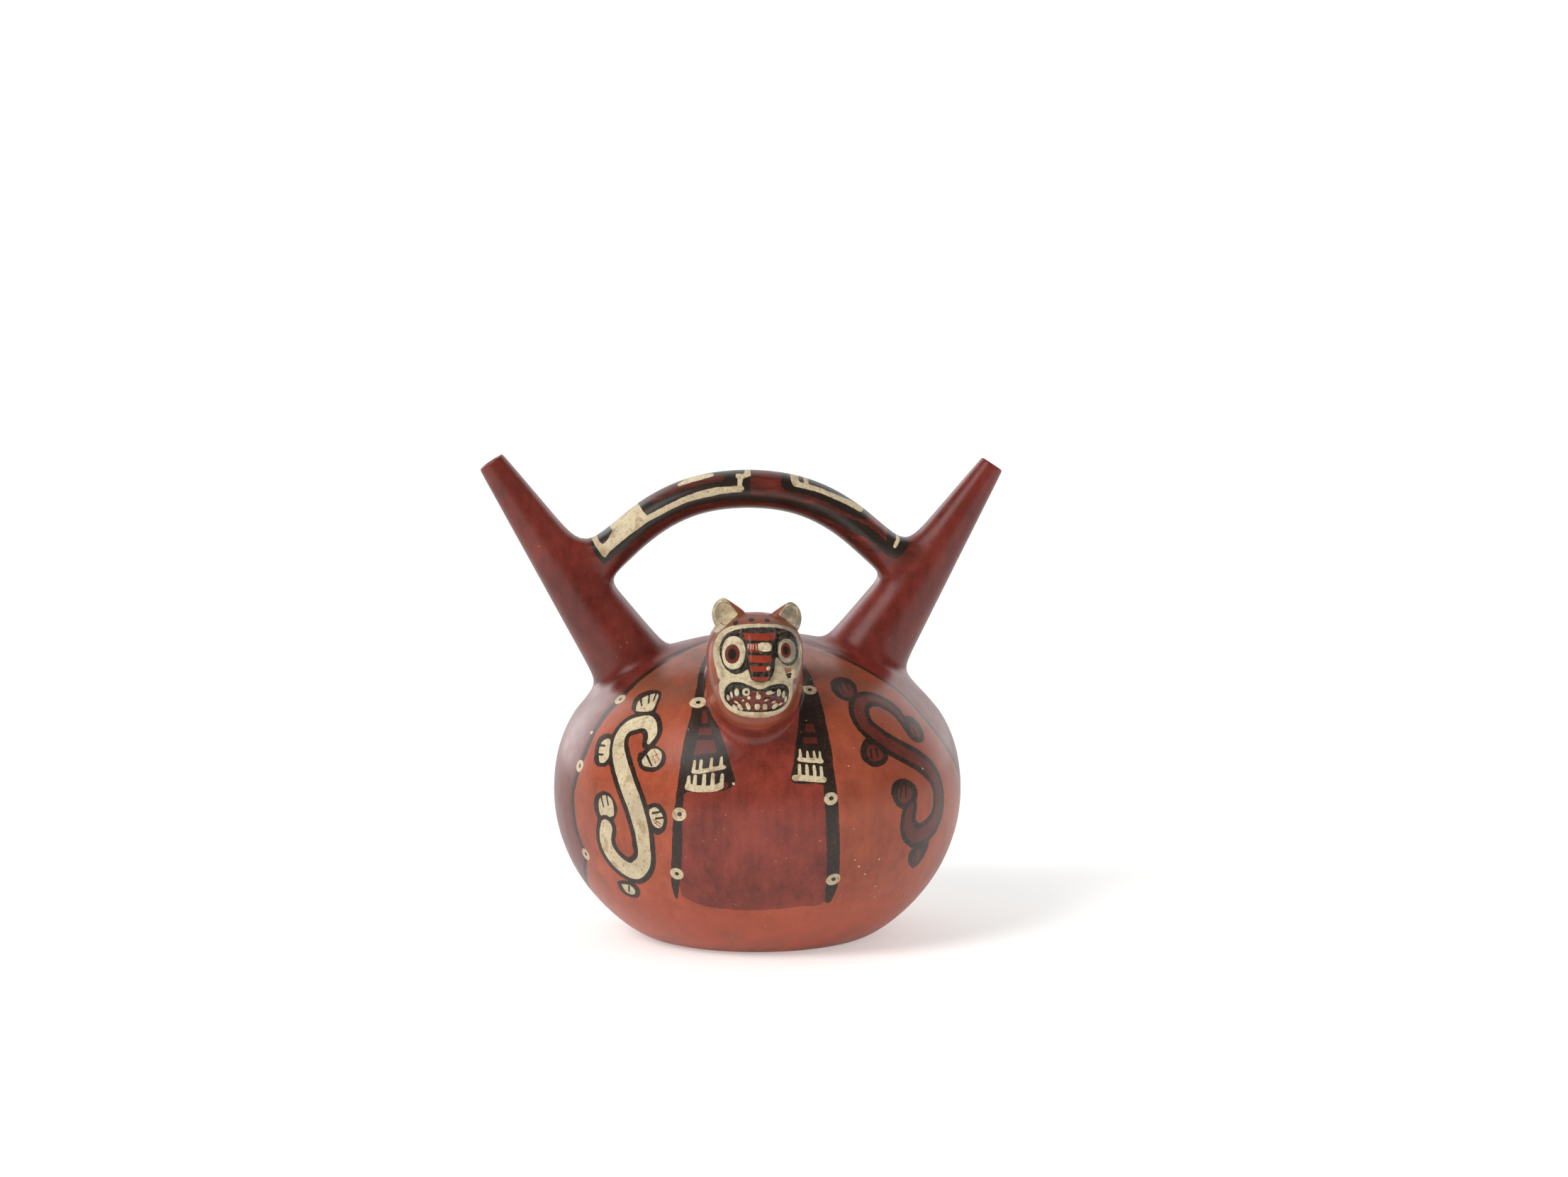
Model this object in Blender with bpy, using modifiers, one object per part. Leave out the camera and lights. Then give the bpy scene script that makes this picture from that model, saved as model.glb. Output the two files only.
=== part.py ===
"""Bridge-spout vessel: a burnished, painted clay bottle with two leaning spouts, an arched
bridge handle between them and an animal head modelled on the front shoulder. One hollow piece."""

import math

import bmesh
import bpy
import numpy as np
from mathutils import Matrix, Vector

# Body, in metres. The foot stands on z = 0, and the head looks towards -Y.
BODY_RADIUS = 0.0777
WIDEST_HEIGHT = 0.0557
BODY_HEIGHT = 0.1153
LOWER_HALF_HEIGHT = 0.067
SHOULDER_FULLNESS = 2.3
WALL = 0.005
FLOOR = 0.006
COLUMNS = 20

# Spouts. Each one is a straight cone from a foot inside the shoulder to its mouth.
# Their heights are measured from the body's top.
RIGHT_FOOT_DROP = 0.0084
RIGHT_MOUTH_RISE = 0.0641
LEFT_FOOT_DROP = 0.0108
LEFT_MOUTH_RISE = 0.0661
SPOUT_TURN = math.radians(4)
RIGHT_SPOUT = {
    "out": 1,
    "foot": (0.0415, BODY_HEIGHT - RIGHT_FOOT_DROP),
    "mouth": (0.0898, BODY_HEIGHT + RIGHT_MOUTH_RISE),
    "tip_radius": 0.00462,
    "root_radius": 0.0155,
    "bore_radius": 0.0027,
}
LEFT_SPOUT = {
    "out": -1,
    "foot": (0.0486, BODY_HEIGHT - LEFT_FOOT_DROP),
    "mouth": (0.1006, BODY_HEIGHT + LEFT_MOUTH_RISE),
    "tip_radius": 0.0052,
    "root_radius": 0.0146,
    "bore_radius": 0.0031,
}
SPOUT_SIDES = 12
SPOUT_STATIONS = (0.17, 0.25, 0.33, 0.40, 0.47, 0.54, 0.68, 0.83, 0.97)
SPOUT_WALL = 0.0042
FILLET = 0.0065

# Bridge handle, an arch that springs from the inner sides of the two spouts.
BRIDGE_TOP_X = -0.004
BRIDGE_ABOVE_BODY = 0.0553
BRIDGE_AXIS_HEIGHT = BODY_HEIGHT + BRIDGE_ABOVE_BODY
BRIDGE_RISE = 0.0275
BRIDGE_HALF_SPAN = 0.055
BRIDGE_FULLNESS = 2.4
BRIDGE_WIDTH = 0.019
BRIDGE_THICKNESS = 0.0145
BRIDGE_RINGS = 10
BRIDGE_ENDS = (0.0485, -0.0560)

# Animal head on the front shoulder.
HEAD_HALF_WIDTH = 0.0176
CHIN_DROP = 0.0268
HEAD_HEIGHT = 0.042
FACE_PROUD = 0.0008
EYE_ABOVE_CHIN = 0.0293
NOSE_ABOVE_CHIN = 0.0203
MOUTH_ABOVE_CHIN = 0.0131
HEAD_CHIN = BODY_HEIGHT - CHIN_DROP
HEAD_CROWN = HEAD_CHIN + HEAD_HEIGHT
FACE_Y = -(BODY_RADIUS + FACE_PROUD)
EYE_HEIGHT = HEAD_CHIN + EYE_ABOVE_CHIN
HEAD_SIDES = 14
EAR_HEIGHT = 0.0158
EAR_WIDTH = 0.0128
EYE_RADIUS = 0.0042
NOSE_WIDTH = 0.0082
NOSE_BOTTOM = HEAD_CHIN + NOSE_ABOVE_CHIN
NOSE_HEIGHT = 0.0178
MOUTH_HEIGHT = HEAD_CHIN + MOUTH_ABOVE_CHIN
MOUTH_HALF_WIDTH = 0.0118
MOUTH_HALF_HEIGHT = 0.0060
LIP_RADIUS = 0.0020


def upper_height(radius):
    """Height of the body's outer face above its widest ring, at a distance from the axis."""
    share = max(0.0, 1 - (radius / BODY_RADIUS) ** 2)
    return WIDEST_HEIGHT + (BODY_HEIGHT - WIDEST_HEIGHT) * share ** (1 / SHOULDER_FULLNESS)


def body_radius(height):
    """Radius of the body's outer face at a height."""
    if height < WIDEST_HEIGHT:
        return BODY_RADIUS * math.sqrt(1 - ((WIDEST_HEIGHT - height) / LOWER_HALF_HEIGHT) ** 2)
    share = (height - WIDEST_HEIGHT) / (BODY_HEIGHT - WIDEST_HEIGHT)
    return BODY_RADIUS * math.sqrt(max(0.0, 1 - share**SHOULDER_FULLNESS))


def limit_scale(sides):
    """How far a ring of this many sides is pushed out, so that the smoothed ring has its true radius."""
    return 6 / (4 + 2 * math.cos(2 * math.pi / sides))


def body_rings():
    """(radius, height) of the body's rings from the foot to the top, first ring at the foot's middle."""
    foot = body_radius(0.0)
    rings = [(foot * 0.45, 0.0), (foot * 0.84, 0.0), (foot * 0.995, 0.0)]
    heights = [WIDEST_HEIGHT * share for share in (0.11, 0.27, 0.46, 0.665, 0.87)]
    heights += [WIDEST_HEIGHT + (BODY_HEIGHT - WIDEST_HEIGHT) * share for share in (0.072, 0.248, 0.4)]
    rings += [(body_radius(height), height) for height in heights]
    for share in (0.882, 0.766, 0.560, 0.250, 0.105):
        radius = BODY_RADIUS * share
        rings.append((radius, upper_height(radius)))
    pushed = list(rings)
    for i in range(3, len(rings) - 1):
        (r0, z0), (r1, z1), (r2, z2) = rings[i - 1 : i + 2]
        pushed[i] = (r1 - (r0 - 2 * r1 + r2) / 6, z1 - (z0 - 2 * z1 + z2) / 6)
    return [(radius * limit_scale(COLUMNS), height) for radius, height in pushed]


def join_loops(bm, first, second):
    """A band of quads between two loops of equal length."""
    count = len(first)
    for i in range(count):
        j = (i + 1) % count
        bm.faces.new((first[i], first[j], second[j], second[i]))


def fan(bm, loop, point):
    """Closes a loop with triangles to one point."""
    centre = bm.verts.new(point)
    for i, vert in enumerate(loop):
        bm.faces.new((vert, loop[(i + 1) % len(loop)], centre))


def patch_loop(grid, low, high, first, last):
    """The edge of a block of a grid: along the low ring, up, back along the high ring, and down."""
    count = len(grid[0])
    columns = [j % count for j in range(first, last + 1)]
    loop = [grid[low][j] for j in columns]
    loop += [grid[i][columns[-1]] for i in range(low + 1, high + 1)]
    loop += [grid[high][j] for j in reversed(columns[:-1])]
    loop += [grid[i][columns[0]] for i in range(high - 1, low, -1)]
    return loop


def spout_frame(spout):
    """Foot, unit axis, length, outward normal and side direction of a spout, turned about Z."""
    turn = Matrix.Rotation(SPOUT_TURN, 3, "Z")
    out = spout["out"]
    foot = turn @ Vector((out * spout["foot"][0], 0, spout["foot"][1]))
    mouth = turn @ Vector((out * spout["mouth"][0], 0, spout["mouth"][1]))
    axis = (mouth - foot).normalized()
    side = turn @ Vector((0, out, 0))
    normal = side.cross(axis).normalized()
    return foot, axis, (mouth - foot).length, normal, side


def spout_radius(spout, share):
    """Outer radius of the spout: share 0 at the foot and 1 at the mouth."""
    return spout["root_radius"] + (spout["tip_radius"] - spout["root_radius"]) * share


def spout_point(spout, share, angle):
    """A point of the spout's cone: share 0 at the foot and 1 at the mouth."""
    foot, axis, length, normal, side = spout_frame(spout)
    radius = spout_radius(spout, share) * limit_scale(SPOUT_SIDES)
    return foot + axis * length * share + (normal * math.cos(angle) + side * math.sin(angle)) * radius


def on_body(x, y):
    """The point of the upper body above a point of the plan."""
    return Vector((x, y, upper_height(math.hypot(x, y))))


def crease_share(spout, angle):
    """Share of the spout's length at which its cone comes out of the body."""
    low, high = -0.45, 0.5
    for _ in range(30):
        middle = (low + high) / 2
        point = spout_point(spout, middle, angle)
        if point.z > upper_height(math.hypot(point.x, point.y)):
            high = middle
        else:
            low = middle
    return (low + high) / 2


def spout_rings(bm, spout, edge):
    """The spout's rings of vertices from the patch edge on the body to the mouth."""
    foot, axis, length, normal, side = spout_frame(spout)
    angles = [math.radians(-45 + 30 * k) for k in range(SPOUT_SIDES)]
    skirt = []
    crease = []
    first = []
    for angle in angles:
        share = crease_share(spout, angle)
        point = spout_point(spout, share, angle)
        away = normal * math.cos(angle) + side * math.sin(angle)
        away = Vector((away.x, away.y, 0)).normalized() * FILLET
        skirt.append(on_body(point.x + away.x, point.y + away.y) + Vector((0, 0, 0.0004)))
        lifted = point + away * 0.12 + axis * FILLET * 0.12
        crease.append(lifted)
        first.append(spout_point(spout, share + FILLET / length, angle))
    rings = [edge]
    for ring in (skirt, crease, first):
        rings.append([bm.verts.new(p) for p in ring])
    shares = [crease_share(spout, angle) + FILLET / length for angle in angles]
    start = SPOUT_STATIONS[0]
    for station in SPOUT_STATIONS:
        ring = []
        for share, angle in zip(shares, angles):
            pull = max(0.0, 1 - (station - start) / 0.27)
            low = max(share + 0.06, station)
            ring.append(spout_point(spout, station + (low - station) * pull, angle))
        rings.append([bm.verts.new(p) for p in ring])
    mouth = foot + axis * length
    scale = limit_scale(SPOUT_SIDES)
    for inset in (0.97, 0.55):
        ring = []
        for angle in angles:
            away = normal * math.cos(angle) + side * math.sin(angle)
            ring.append(bm.verts.new(mouth + away * spout["tip_radius"] * scale * inset))
        rings.append(ring)
    return rings, mouth


def bridge_axis(x):
    """Centre and unit normal of the bridge at a distance along it."""
    share = abs(x - BRIDGE_TOP_X) / BRIDGE_HALF_SPAN
    drop = BRIDGE_RISE * share**BRIDGE_FULLNESS
    slope = BRIDGE_RISE * BRIDGE_FULLNESS * share ** (BRIDGE_FULLNESS - 1) / BRIDGE_HALF_SPAN
    slope *= math.copysign(1, x - BRIDGE_TOP_X)
    return Vector((x, 0, BRIDGE_AXIS_HEIGHT - drop)), Vector((slope, 0, 1)).normalized()


def bridge_rings(bm):
    """Rings of the bridge from the right spout to the left one."""
    turn = Matrix.Rotation(SPOUT_TURN, 3, "Z")
    scale = limit_scale(SPOUT_SIDES)
    rings = []
    for x in np.linspace(BRIDGE_ENDS[0], BRIDGE_ENDS[1], BRIDGE_RINGS):
        centre, normal = bridge_axis(x)
        ring = []
        for m in range(SPOUT_SIDES):
            angle = math.radians(45 - 30 * m)
            across = math.sin(angle) * BRIDGE_WIDTH / 2 * scale
            up = -math.cos(angle) * BRIDGE_THICKNESS / 2 * scale
            point = centre + normal * up + Vector((0, across, 0))
            ring.append(bm.verts.new(turn @ point))
        rings.append(ring)
    return rings


def head_ring(bottom, top, half_width, square=1.0, narrow=0.0):
    """Fourteen points of a head section. The ends are (y, z) of its lowest and highest points."""
    low = Vector((0, bottom[0], bottom[1]))
    high = Vector((0, top[0], top[1]))
    centre = (low + high) / 2
    half = (high - low) / 2
    scale = limit_scale(HEAD_SIDES)
    points = []
    for k in range(HEAD_SIDES):
        angle = 2 * math.pi * (k - 1.5) / HEAD_SIDES
        up = -math.cos(angle)
        side = math.sin(angle)
        up = math.copysign(abs(up) ** square, up)
        side = math.copysign(abs(side) ** square, side)
        side *= 1 + narrow * up
        points.append(centre + half * up * scale + Vector((half_width * side * scale, 0, 0)))
    return points


def head_rings(bm, edge):
    """Rings of the head from the patch edge on the body to the middle of the face."""
    skirt = []
    furthest = BODY_RADIUS * 0.929
    for point in head_ring((FACE_Y + 0.0050, 0), (FACE_Y + 0.0560, 0), HEAD_HALF_WIDTH * 1.22, 0.85, 0.0):
        radius = math.hypot(point.x, point.y)
        if radius > furthest:
            point = point * (furthest / radius)
        skirt.append(on_body(point.x, point.y) + Vector((0, 0, 0.0003)))
    chin = HEAD_CHIN
    crown = HEAD_CROWN
    width = HEAD_HALF_WIDTH
    face = FACE_Y
    shapes = [
        head_ring((face + 0.0073, chin - 0.0035), (face + 0.0485, crown - 0.0155), width * 1.04, 0.85, 0.02),
        head_ring((face + 0.0050, chin - 0.0012), (face + 0.0385, crown - 0.0070), width * 0.99, 0.82, 0.04),
        head_ring((face + 0.0027, chin), (face + 0.0265, crown - 0.0010), width, 0.80, 0.06),
        head_ring((face + 0.0009, chin + 0.0020), (face + 0.0135, crown + 0.0005), width * 0.99, 0.80, 0.07),
        head_ring((face - 0.0006, chin + 0.0055), (face + 0.0050, crown - 0.0030), width * 0.88, 0.82, 0.08),
        head_ring((face - 0.0012, chin + 0.0100), (face + 0.0020, crown - 0.0090), width * 0.62, 0.9, 0.06),
        head_ring((face - 0.0014, chin + 0.0155), (face + 0.0005, crown - 0.0155), width * 0.30, 1.0, 0.0),
    ]
    rings = [edge, [bm.verts.new(p) for p in skirt]]
    rings += [[bm.verts.new(p) for p in shape] for shape in shapes]
    return rings


def outer_cage():
    """The coarse cage of body, spouts, bridge and head as one closed surface."""
    bm = bmesh.new()
    grid = []
    for radius, height in body_rings():
        ring = []
        for j in range(COLUMNS):
            angle = math.radians(9) + 2 * math.pi * j / COLUMNS
            ring.append(bm.verts.new((radius * math.cos(angle), radius * math.sin(angle), height)))
        grid.append(ring)
    top = len(grid) - 1
    # Blocks of the grid left open: three columns wide, at the spouts and at the head.
    blocks = {"right": (top - 4, top - 1, -2), "left": (top - 4, top - 1, 8), "head": (top - 5, top - 1, 13)}
    open_cells = set()
    for low, high, first in blocks.values():
        for i in range(low, high):
            for j in range(first, first + 3):
                open_cells.add((i, j % COLUMNS))
    for i in range(top):
        for j in range(COLUMNS):
            if (i, j) in open_cells:
                continue
            k = (j + 1) % COLUMNS
            bm.faces.new((grid[i][j], grid[i][k], grid[i + 1][k], grid[i + 1][j]))
    fan(bm, grid[0], (0, 0, 0))
    fan(bm, grid[top], (0, 0, BODY_HEIGHT))

    bridge = bridge_rings(bm)
    ends = []
    for name, spout in (("right", RIGHT_SPOUT), ("left", LEFT_SPOUT)):
        low, high, first = blocks[name]
        edge = patch_loop(grid, low, high, first, first + 3)
        rings, mouth = spout_rings(bm, spout, edge)
        # The bridge springs from three columns and three rows on the inner side.
        under = 6
        above = under + 3
        for i in range(len(rings) - 1):
            for k in range(SPOUT_SIDES):
                if under <= i < above and 6 <= k < 9:
                    continue
                n = (k + 1) % SPOUT_SIDES
                bm.faces.new((rings[i][k], rings[i][n], rings[i + 1][n], rings[i + 1][k]))
        fan(bm, rings[-1], mouth)
        loop = patch_loop(rings, under, above, 6, 9)
        if name == "left":
            loop = [loop[(3 - m) % SPOUT_SIDES] for m in range(SPOUT_SIDES)]
        ends.append(loop)
    for first_ring, second_ring in zip([ends[0]] + bridge, bridge + [ends[1]]):
        join_loops(bm, first_ring, second_ring)

    low, high, first = blocks["head"]
    rings = head_rings(bm, patch_loop(grid, low, high, first, first + 3))
    for first_ring, second_ring in zip(rings, rings[1:]):
        join_loops(bm, first_ring, second_ring)
    fan(bm, rings[-1], (0, FACE_Y - 0.0012, (HEAD_CHIN + HEAD_CROWN) / 2))
    loose = [vert for vert in bm.verts if not vert.link_faces]
    bmesh.ops.delete(bm, geom=loose, context="VERTS")
    bmesh.ops.recalc_face_normals(bm, faces=bm.faces)
    return bm


def mesh_object(name, bm, collection):
    """A mesh object from a bmesh."""
    mesh = bpy.data.meshes.new(name)
    bm.to_mesh(mesh)
    bm.free()
    made = bpy.data.objects.new(name, mesh)
    collection.objects.link(made)
    return made


def add_subdivision(made, levels):
    """A smoothing modifier with equal levels on screen and in a render."""
    modifier = made.modifiers.new("smooth", "SUBSURF")
    modifier.levels = levels
    modifier.render_levels = levels
    return modifier


def helper(made, collection):
    """Puts an object that only shapes the vessel into the helpers' collection."""
    for other in list(made.users_collection):
        other.objects.unlink(made)
    collection.objects.link(made)
    made.hide_render = True
    made.display_type = "WIRE"
    return made


def cavity_profile():
    """(radius, height) of the chamber from the top's middle to the floor's middle."""
    points = []
    for angle in np.linspace(0, 1, 15):
        height = BODY_HEIGHT - (BODY_HEIGHT - 0.0005) * angle**1.35
        points.append((body_radius(height), height))
    inner = []
    for i in range(1, len(points) - 1):
        (r0, z0), (r1, z1), (r2, z2) = points[i - 1 : i + 2]
        along = math.hypot(r2 - r0, z2 - z0)
        inner.append((r1 + (z2 - z0) / along * WALL, z1 - (r2 - r0) / along * WALL))
    inner = [(r, z) for r, z in inner if z > FLOOR + 0.002]
    return [(0.0, BODY_HEIGHT - WALL)] + inner + [(inner[-1][0] - 0.006, FLOOR), (0.0, FLOOR)]


def make_cavity(collection):
    """The chamber, turned about the body's axis."""
    profile = cavity_profile()
    mesh = bpy.data.meshes.new("chamber")
    edges = [(i, i + 1) for i in range(len(profile) - 1)]
    mesh.from_pydata([(r, 0, z) for r, z in profile], edges, [])
    made = bpy.data.objects.new("chamber", mesh)
    collection.objects.link(made)
    screw = made.modifiers.new("turned", "SCREW")
    screw.steps = 28
    screw.render_steps = 28
    screw.use_merge_vertices = True
    screw.merge_threshold = 0.0001
    screw.use_normal_calculate = True
    return helper(made, collection)


def make_bore(name, spout, collection):
    """The channel through a spout: a tube whose radius grows from the mouth to the chamber."""
    foot, axis, length, _, _ = spout_frame(spout)
    curve = bpy.data.curves.new(name, "CURVE")
    curve.dimensions = "3D"
    curve.bevel_depth = 1.0
    curve.bevel_resolution = 2
    curve.use_fill_caps = True
    line = curve.splines.new("POLY")
    shares = (1.03, 0.9, 0.6, 0.3, 0.0, -0.16)
    line.points.add(len(shares) - 1)
    for point, share in zip(line.points, shares):
        at = foot + axis * length * share
        point.co = (at.x, at.y, at.z, 1)
        outer = spout_radius(spout, share)
        grow = min(1.0, max(0.0, (1.0 - share) / 0.3))
        wall = spout["tip_radius"] - spout["bore_radius"]
        point.radius = outer - wall - (SPOUT_WALL - wall) * grow
    tube = bpy.data.objects.new(name + "_tube", curve)
    collection.objects.link(tube)
    tube.hide_render = True
    bpy.context.view_layer.update()
    mesh = bpy.data.meshes.new_from_object(tube.evaluated_get(bpy.context.evaluated_depsgraph_get()))
    bpy.data.objects.remove(tube)
    bm = bmesh.new()
    bm.from_mesh(mesh)
    bmesh.ops.remove_doubles(bm, verts=bm.verts, dist=1e-6)
    bmesh.ops.recalc_face_normals(bm, faces=bm.faces)
    return helper(mesh_object(name, bm, collection), collection)


def make_ellipsoid(name, centre, radii, collection, segments=12, rings=6):
    """A closed ellipsoid from the sphere primitive."""
    bpy.ops.mesh.primitive_uv_sphere_add(segments=segments, ring_count=rings, radius=1)
    made = bpy.context.object
    made.name = name
    for vert in made.data.vertices:
        vert.co = Vector([c + v * r for c, v, r in zip(centre, vert.co, radii)])
    return helper(made, collection)


def make_ear(name, side, collection):
    """A cupped ear: a block narrowed upwards with its front pushed in, then smoothed."""
    bm = bmesh.new()
    bmesh.ops.create_cube(bm, size=2)
    for vert in bm.verts:
        x, y, z = vert.co
        narrow = 0.62 if z > 0 else 1.0
        vert.co = Vector((x * EAR_WIDTH / 2 * narrow * 1.12, y * 0.0034, z * EAR_HEIGHT / 2))
    bm.faces.ensure_lookup_table()
    front = min(bm.faces, key=lambda face: face.calc_center_median().y)
    bmesh.ops.inset_individual(bm, faces=[front], thickness=0.0019)
    for vert in front.verts:
        vert.co.y += 0.0035
    lean = Matrix.Rotation(math.radians(24 * side), 4, "Y")
    toe = Matrix.Rotation(math.radians(-14 * side), 4, "Z")
    place = Matrix.Translation((side * (HEAD_HALF_WIDTH - 0.0055), FACE_Y + 0.0145, HEAD_CROWN - 0.0016))
    bm.transform(place @ lean @ toe)
    bmesh.ops.recalc_face_normals(bm, faces=bm.faces)
    made = mesh_object(name, bm, collection)
    add_subdivision(made, 2)
    return helper(made, collection)


def make_nose(collection):
    """The nose ridge: a block that stands out further at its tip."""
    bm = bmesh.new()
    bmesh.ops.create_cube(bm, size=2)
    bmesh.ops.subdivide_edges(
        bm,
        edges=[e for e in bm.edges if abs((e.verts[0].co - e.verts[1].co).z) > 1],
        cuts=2,
    )
    for vert in bm.verts:
        x, y, z = vert.co
        share = (z + 1) / 2
        half = NOSE_WIDTH / 2 * (1.22 - 0.34 * share)
        front = FACE_Y - 0.0068 + 0.0042 * share
        height = NOSE_BOTTOM + NOSE_HEIGHT * share
        vert.co = Vector((x * half * 1.1, front if y < 0 else FACE_Y + 0.004, height))
    bmesh.ops.recalc_face_normals(bm, faces=bm.faces)
    made = mesh_object("nose", bm, collection)
    add_subdivision(made, 2)
    return helper(made, collection)


def make_lips(collection):
    """The raised oval band round the mouth."""
    bpy.ops.mesh.primitive_torus_add(
        major_segments=24, minor_segments=6, major_radius=1.0, minor_radius=0.2
    )
    made = bpy.context.object
    made.name = "lips"
    for vert in made.data.vertices:
        x, y, z = vert.co
        flat = math.hypot(x, y)
        ux, uy = x / flat, y / flat
        out = (flat - 1.0) / 0.2 * LIP_RADIUS
        depth = z / 0.2 * LIP_RADIUS
        wide = (MOUTH_HALF_WIDTH + out) * ux
        tall = (MOUTH_HALF_HEIGHT + out) * uy
        bow = 0.0030 * (wide / MOUTH_HALF_WIDTH) ** 2
        vert.co = Vector((wide, FACE_Y - 0.0022 - depth + bow, MOUTH_HEIGHT + tall))
    return helper(made, collection)


def clay():
    """The vessel's material: burnished red slip."""
    material = bpy.data.materials.new("burnished_slip")
    material.use_nodes = True
    shader = material.node_tree.nodes["Principled BSDF"]
    shader.inputs["Base Color"].default_value = (0.36, 0.075, 0.045, 1)
    shader.inputs["Roughness"].default_value = 0.42
    shader.inputs["Metallic"].default_value = 0.0
    material.diffuse_color = (0.36, 0.075, 0.045, 1)
    return material


def add_boolean(made, name, operation, collection):
    """Joins or cuts with every object of a collection."""
    modifier = made.modifiers.new(name, "BOOLEAN")
    modifier.operation = operation
    modifier.solver = "EXACT"
    modifier.operand_type = "COLLECTION"
    modifier.collection = collection


def main():
    for old in list(bpy.data.objects):
        bpy.data.objects.remove(old)
    scene = bpy.context.scene.collection
    shown = bpy.data.collections.new("bridge_spout_vessel")
    relief = bpy.data.collections.new("relief")
    hollows = bpy.data.collections.new("hollows")
    for collection in (shown, relief, hollows):
        scene.children.link(collection)
    relief.hide_render = True
    hollows.hide_render = True

    vessel = mesh_object("vessel", outer_cage(), shown)
    vessel.data.materials.append(clay())
    add_subdivision(vessel, 1)

    make_ear("ear_left", -1, relief)
    make_ear("ear_right", 1, relief)
    make_nose(relief)
    make_lips(relief)
    eye_y = FACE_Y + 0.0012
    eye_x = HEAD_HALF_WIDTH * 0.545
    make_ellipsoid("eye_left", (-eye_x, eye_y, EYE_HEIGHT), (EYE_RADIUS, 0.0026, EYE_RADIUS), relief)
    make_ellipsoid("eye_right", (eye_x, eye_y, EYE_HEIGHT), (EYE_RADIUS * 0.9, 0.0026, EYE_RADIUS), relief)
    muzzle = (MOUTH_HALF_WIDTH + 0.0032, 0.0058, MOUTH_HALF_HEIGHT + 0.0038)
    make_ellipsoid("muzzle", (0, FACE_Y + 0.0030, MOUTH_HEIGHT), muzzle, relief, 16, 8)

    make_cavity(hollows)
    make_bore("bore_right", RIGHT_SPOUT, hollows)
    make_bore("bore_left", LEFT_SPOUT, hollows)
    hollow = (HEAD_HALF_WIDTH * 0.67, 0.0150, 0.0165)
    middle = (0, FACE_Y + 0.0235, HEAD_CHIN + 0.0160)
    make_ellipsoid("head_hollow", middle, hollow, hollows, 14, 8)

    add_boolean(vessel, "relief", "UNION", relief)
    add_boolean(vessel, "hollow", "DIFFERENCE", hollows)


main()
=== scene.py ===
# %% [markdown]
# A painted clay bottle with two leaning spouts, an arched bridge handle between them and the head
# of a wild cat on its front shoulder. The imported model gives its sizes, and this lesson builds the
# surface that is seen: one smooth skin of burnished clay, the modelled face, and the slip painting.

# %% The frame
import math

import bmesh
import bpy
import numpy as np
from mathutils import Matrix, Vector


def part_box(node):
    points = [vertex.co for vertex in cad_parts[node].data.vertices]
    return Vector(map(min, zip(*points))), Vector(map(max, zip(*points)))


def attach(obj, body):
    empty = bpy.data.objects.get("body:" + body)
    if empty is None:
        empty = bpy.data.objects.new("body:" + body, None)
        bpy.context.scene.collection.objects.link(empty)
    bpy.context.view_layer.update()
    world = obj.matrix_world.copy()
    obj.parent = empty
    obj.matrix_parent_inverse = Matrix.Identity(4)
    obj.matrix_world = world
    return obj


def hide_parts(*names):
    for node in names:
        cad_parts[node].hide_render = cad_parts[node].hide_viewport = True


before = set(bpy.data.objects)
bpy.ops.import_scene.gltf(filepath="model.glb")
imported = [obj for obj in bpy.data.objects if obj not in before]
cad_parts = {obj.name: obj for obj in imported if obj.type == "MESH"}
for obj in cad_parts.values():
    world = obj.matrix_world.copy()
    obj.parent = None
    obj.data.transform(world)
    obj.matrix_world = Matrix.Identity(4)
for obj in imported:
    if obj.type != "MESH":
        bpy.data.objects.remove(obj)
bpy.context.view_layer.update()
low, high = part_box("vessel")
print("CAD box, mm:", [round(1000 * v, 1) for v in high - low])

# %% [markdown]
# The sizes below are the vessel's own, in metres. The body is round in plan: its wall is an
# ellipse up to the widest ring and a fuller curve above it. Both curves are written once, as
# functions, because the walls, the spouts' feet and every painted line lie on the same surface.

# %% Sizes
BODY_RADIUS = 0.0777
WIDEST_HEIGHT = 0.0557
BODY_HEIGHT = 0.1153
UPPER_RISE = BODY_HEIGHT - WIDEST_HEIGHT
LOWER_HALF_HEIGHT = 0.067
SHOULDER_FULLNESS = 2.3
SPOUT_TURN = math.radians(4)
turned = Matrix.Rotation(SPOUT_TURN, 3, "Z")


def upper_height(radius):
    """Height of the body's upper face at a distance from the axis."""
    share = np.clip(1 - (radius / BODY_RADIUS) ** 2, 0, 1)
    return WIDEST_HEIGHT + UPPER_RISE * share ** (1 / SHOULDER_FULLNESS)


def body_radius(height):
    """Radius of the body at a height."""
    lower = np.sqrt(np.clip(1 - ((WIDEST_HEIGHT - height) / LOWER_HALF_HEIGHT) ** 2, 0, 1))
    share = np.clip((height - WIDEST_HEIGHT) / UPPER_RISE, 0, 1)
    upper = np.sqrt(np.clip(1 - share**SHOULDER_FULLNESS, 0, 1))
    return BODY_RADIUS * np.where(height < WIDEST_HEIGHT, lower, upper)


print("foot radius, mm:", round(1000 * float(body_radius(0.0)), 1))

# %% [markdown]
# A few helpers select by place, so no face number is ever needed. One opens a block of a grid of
# faces, one pulls an open edge out through ring after ring, and one closes the last ring.

# %% Helpers for edit mode
def only(piece):
    """Selects one piece alone and makes it active."""
    bpy.ops.object.select_all(action="DESELECT")
    piece.select_set(True)
    bpy.context.view_layer.objects.active = piece


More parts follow.
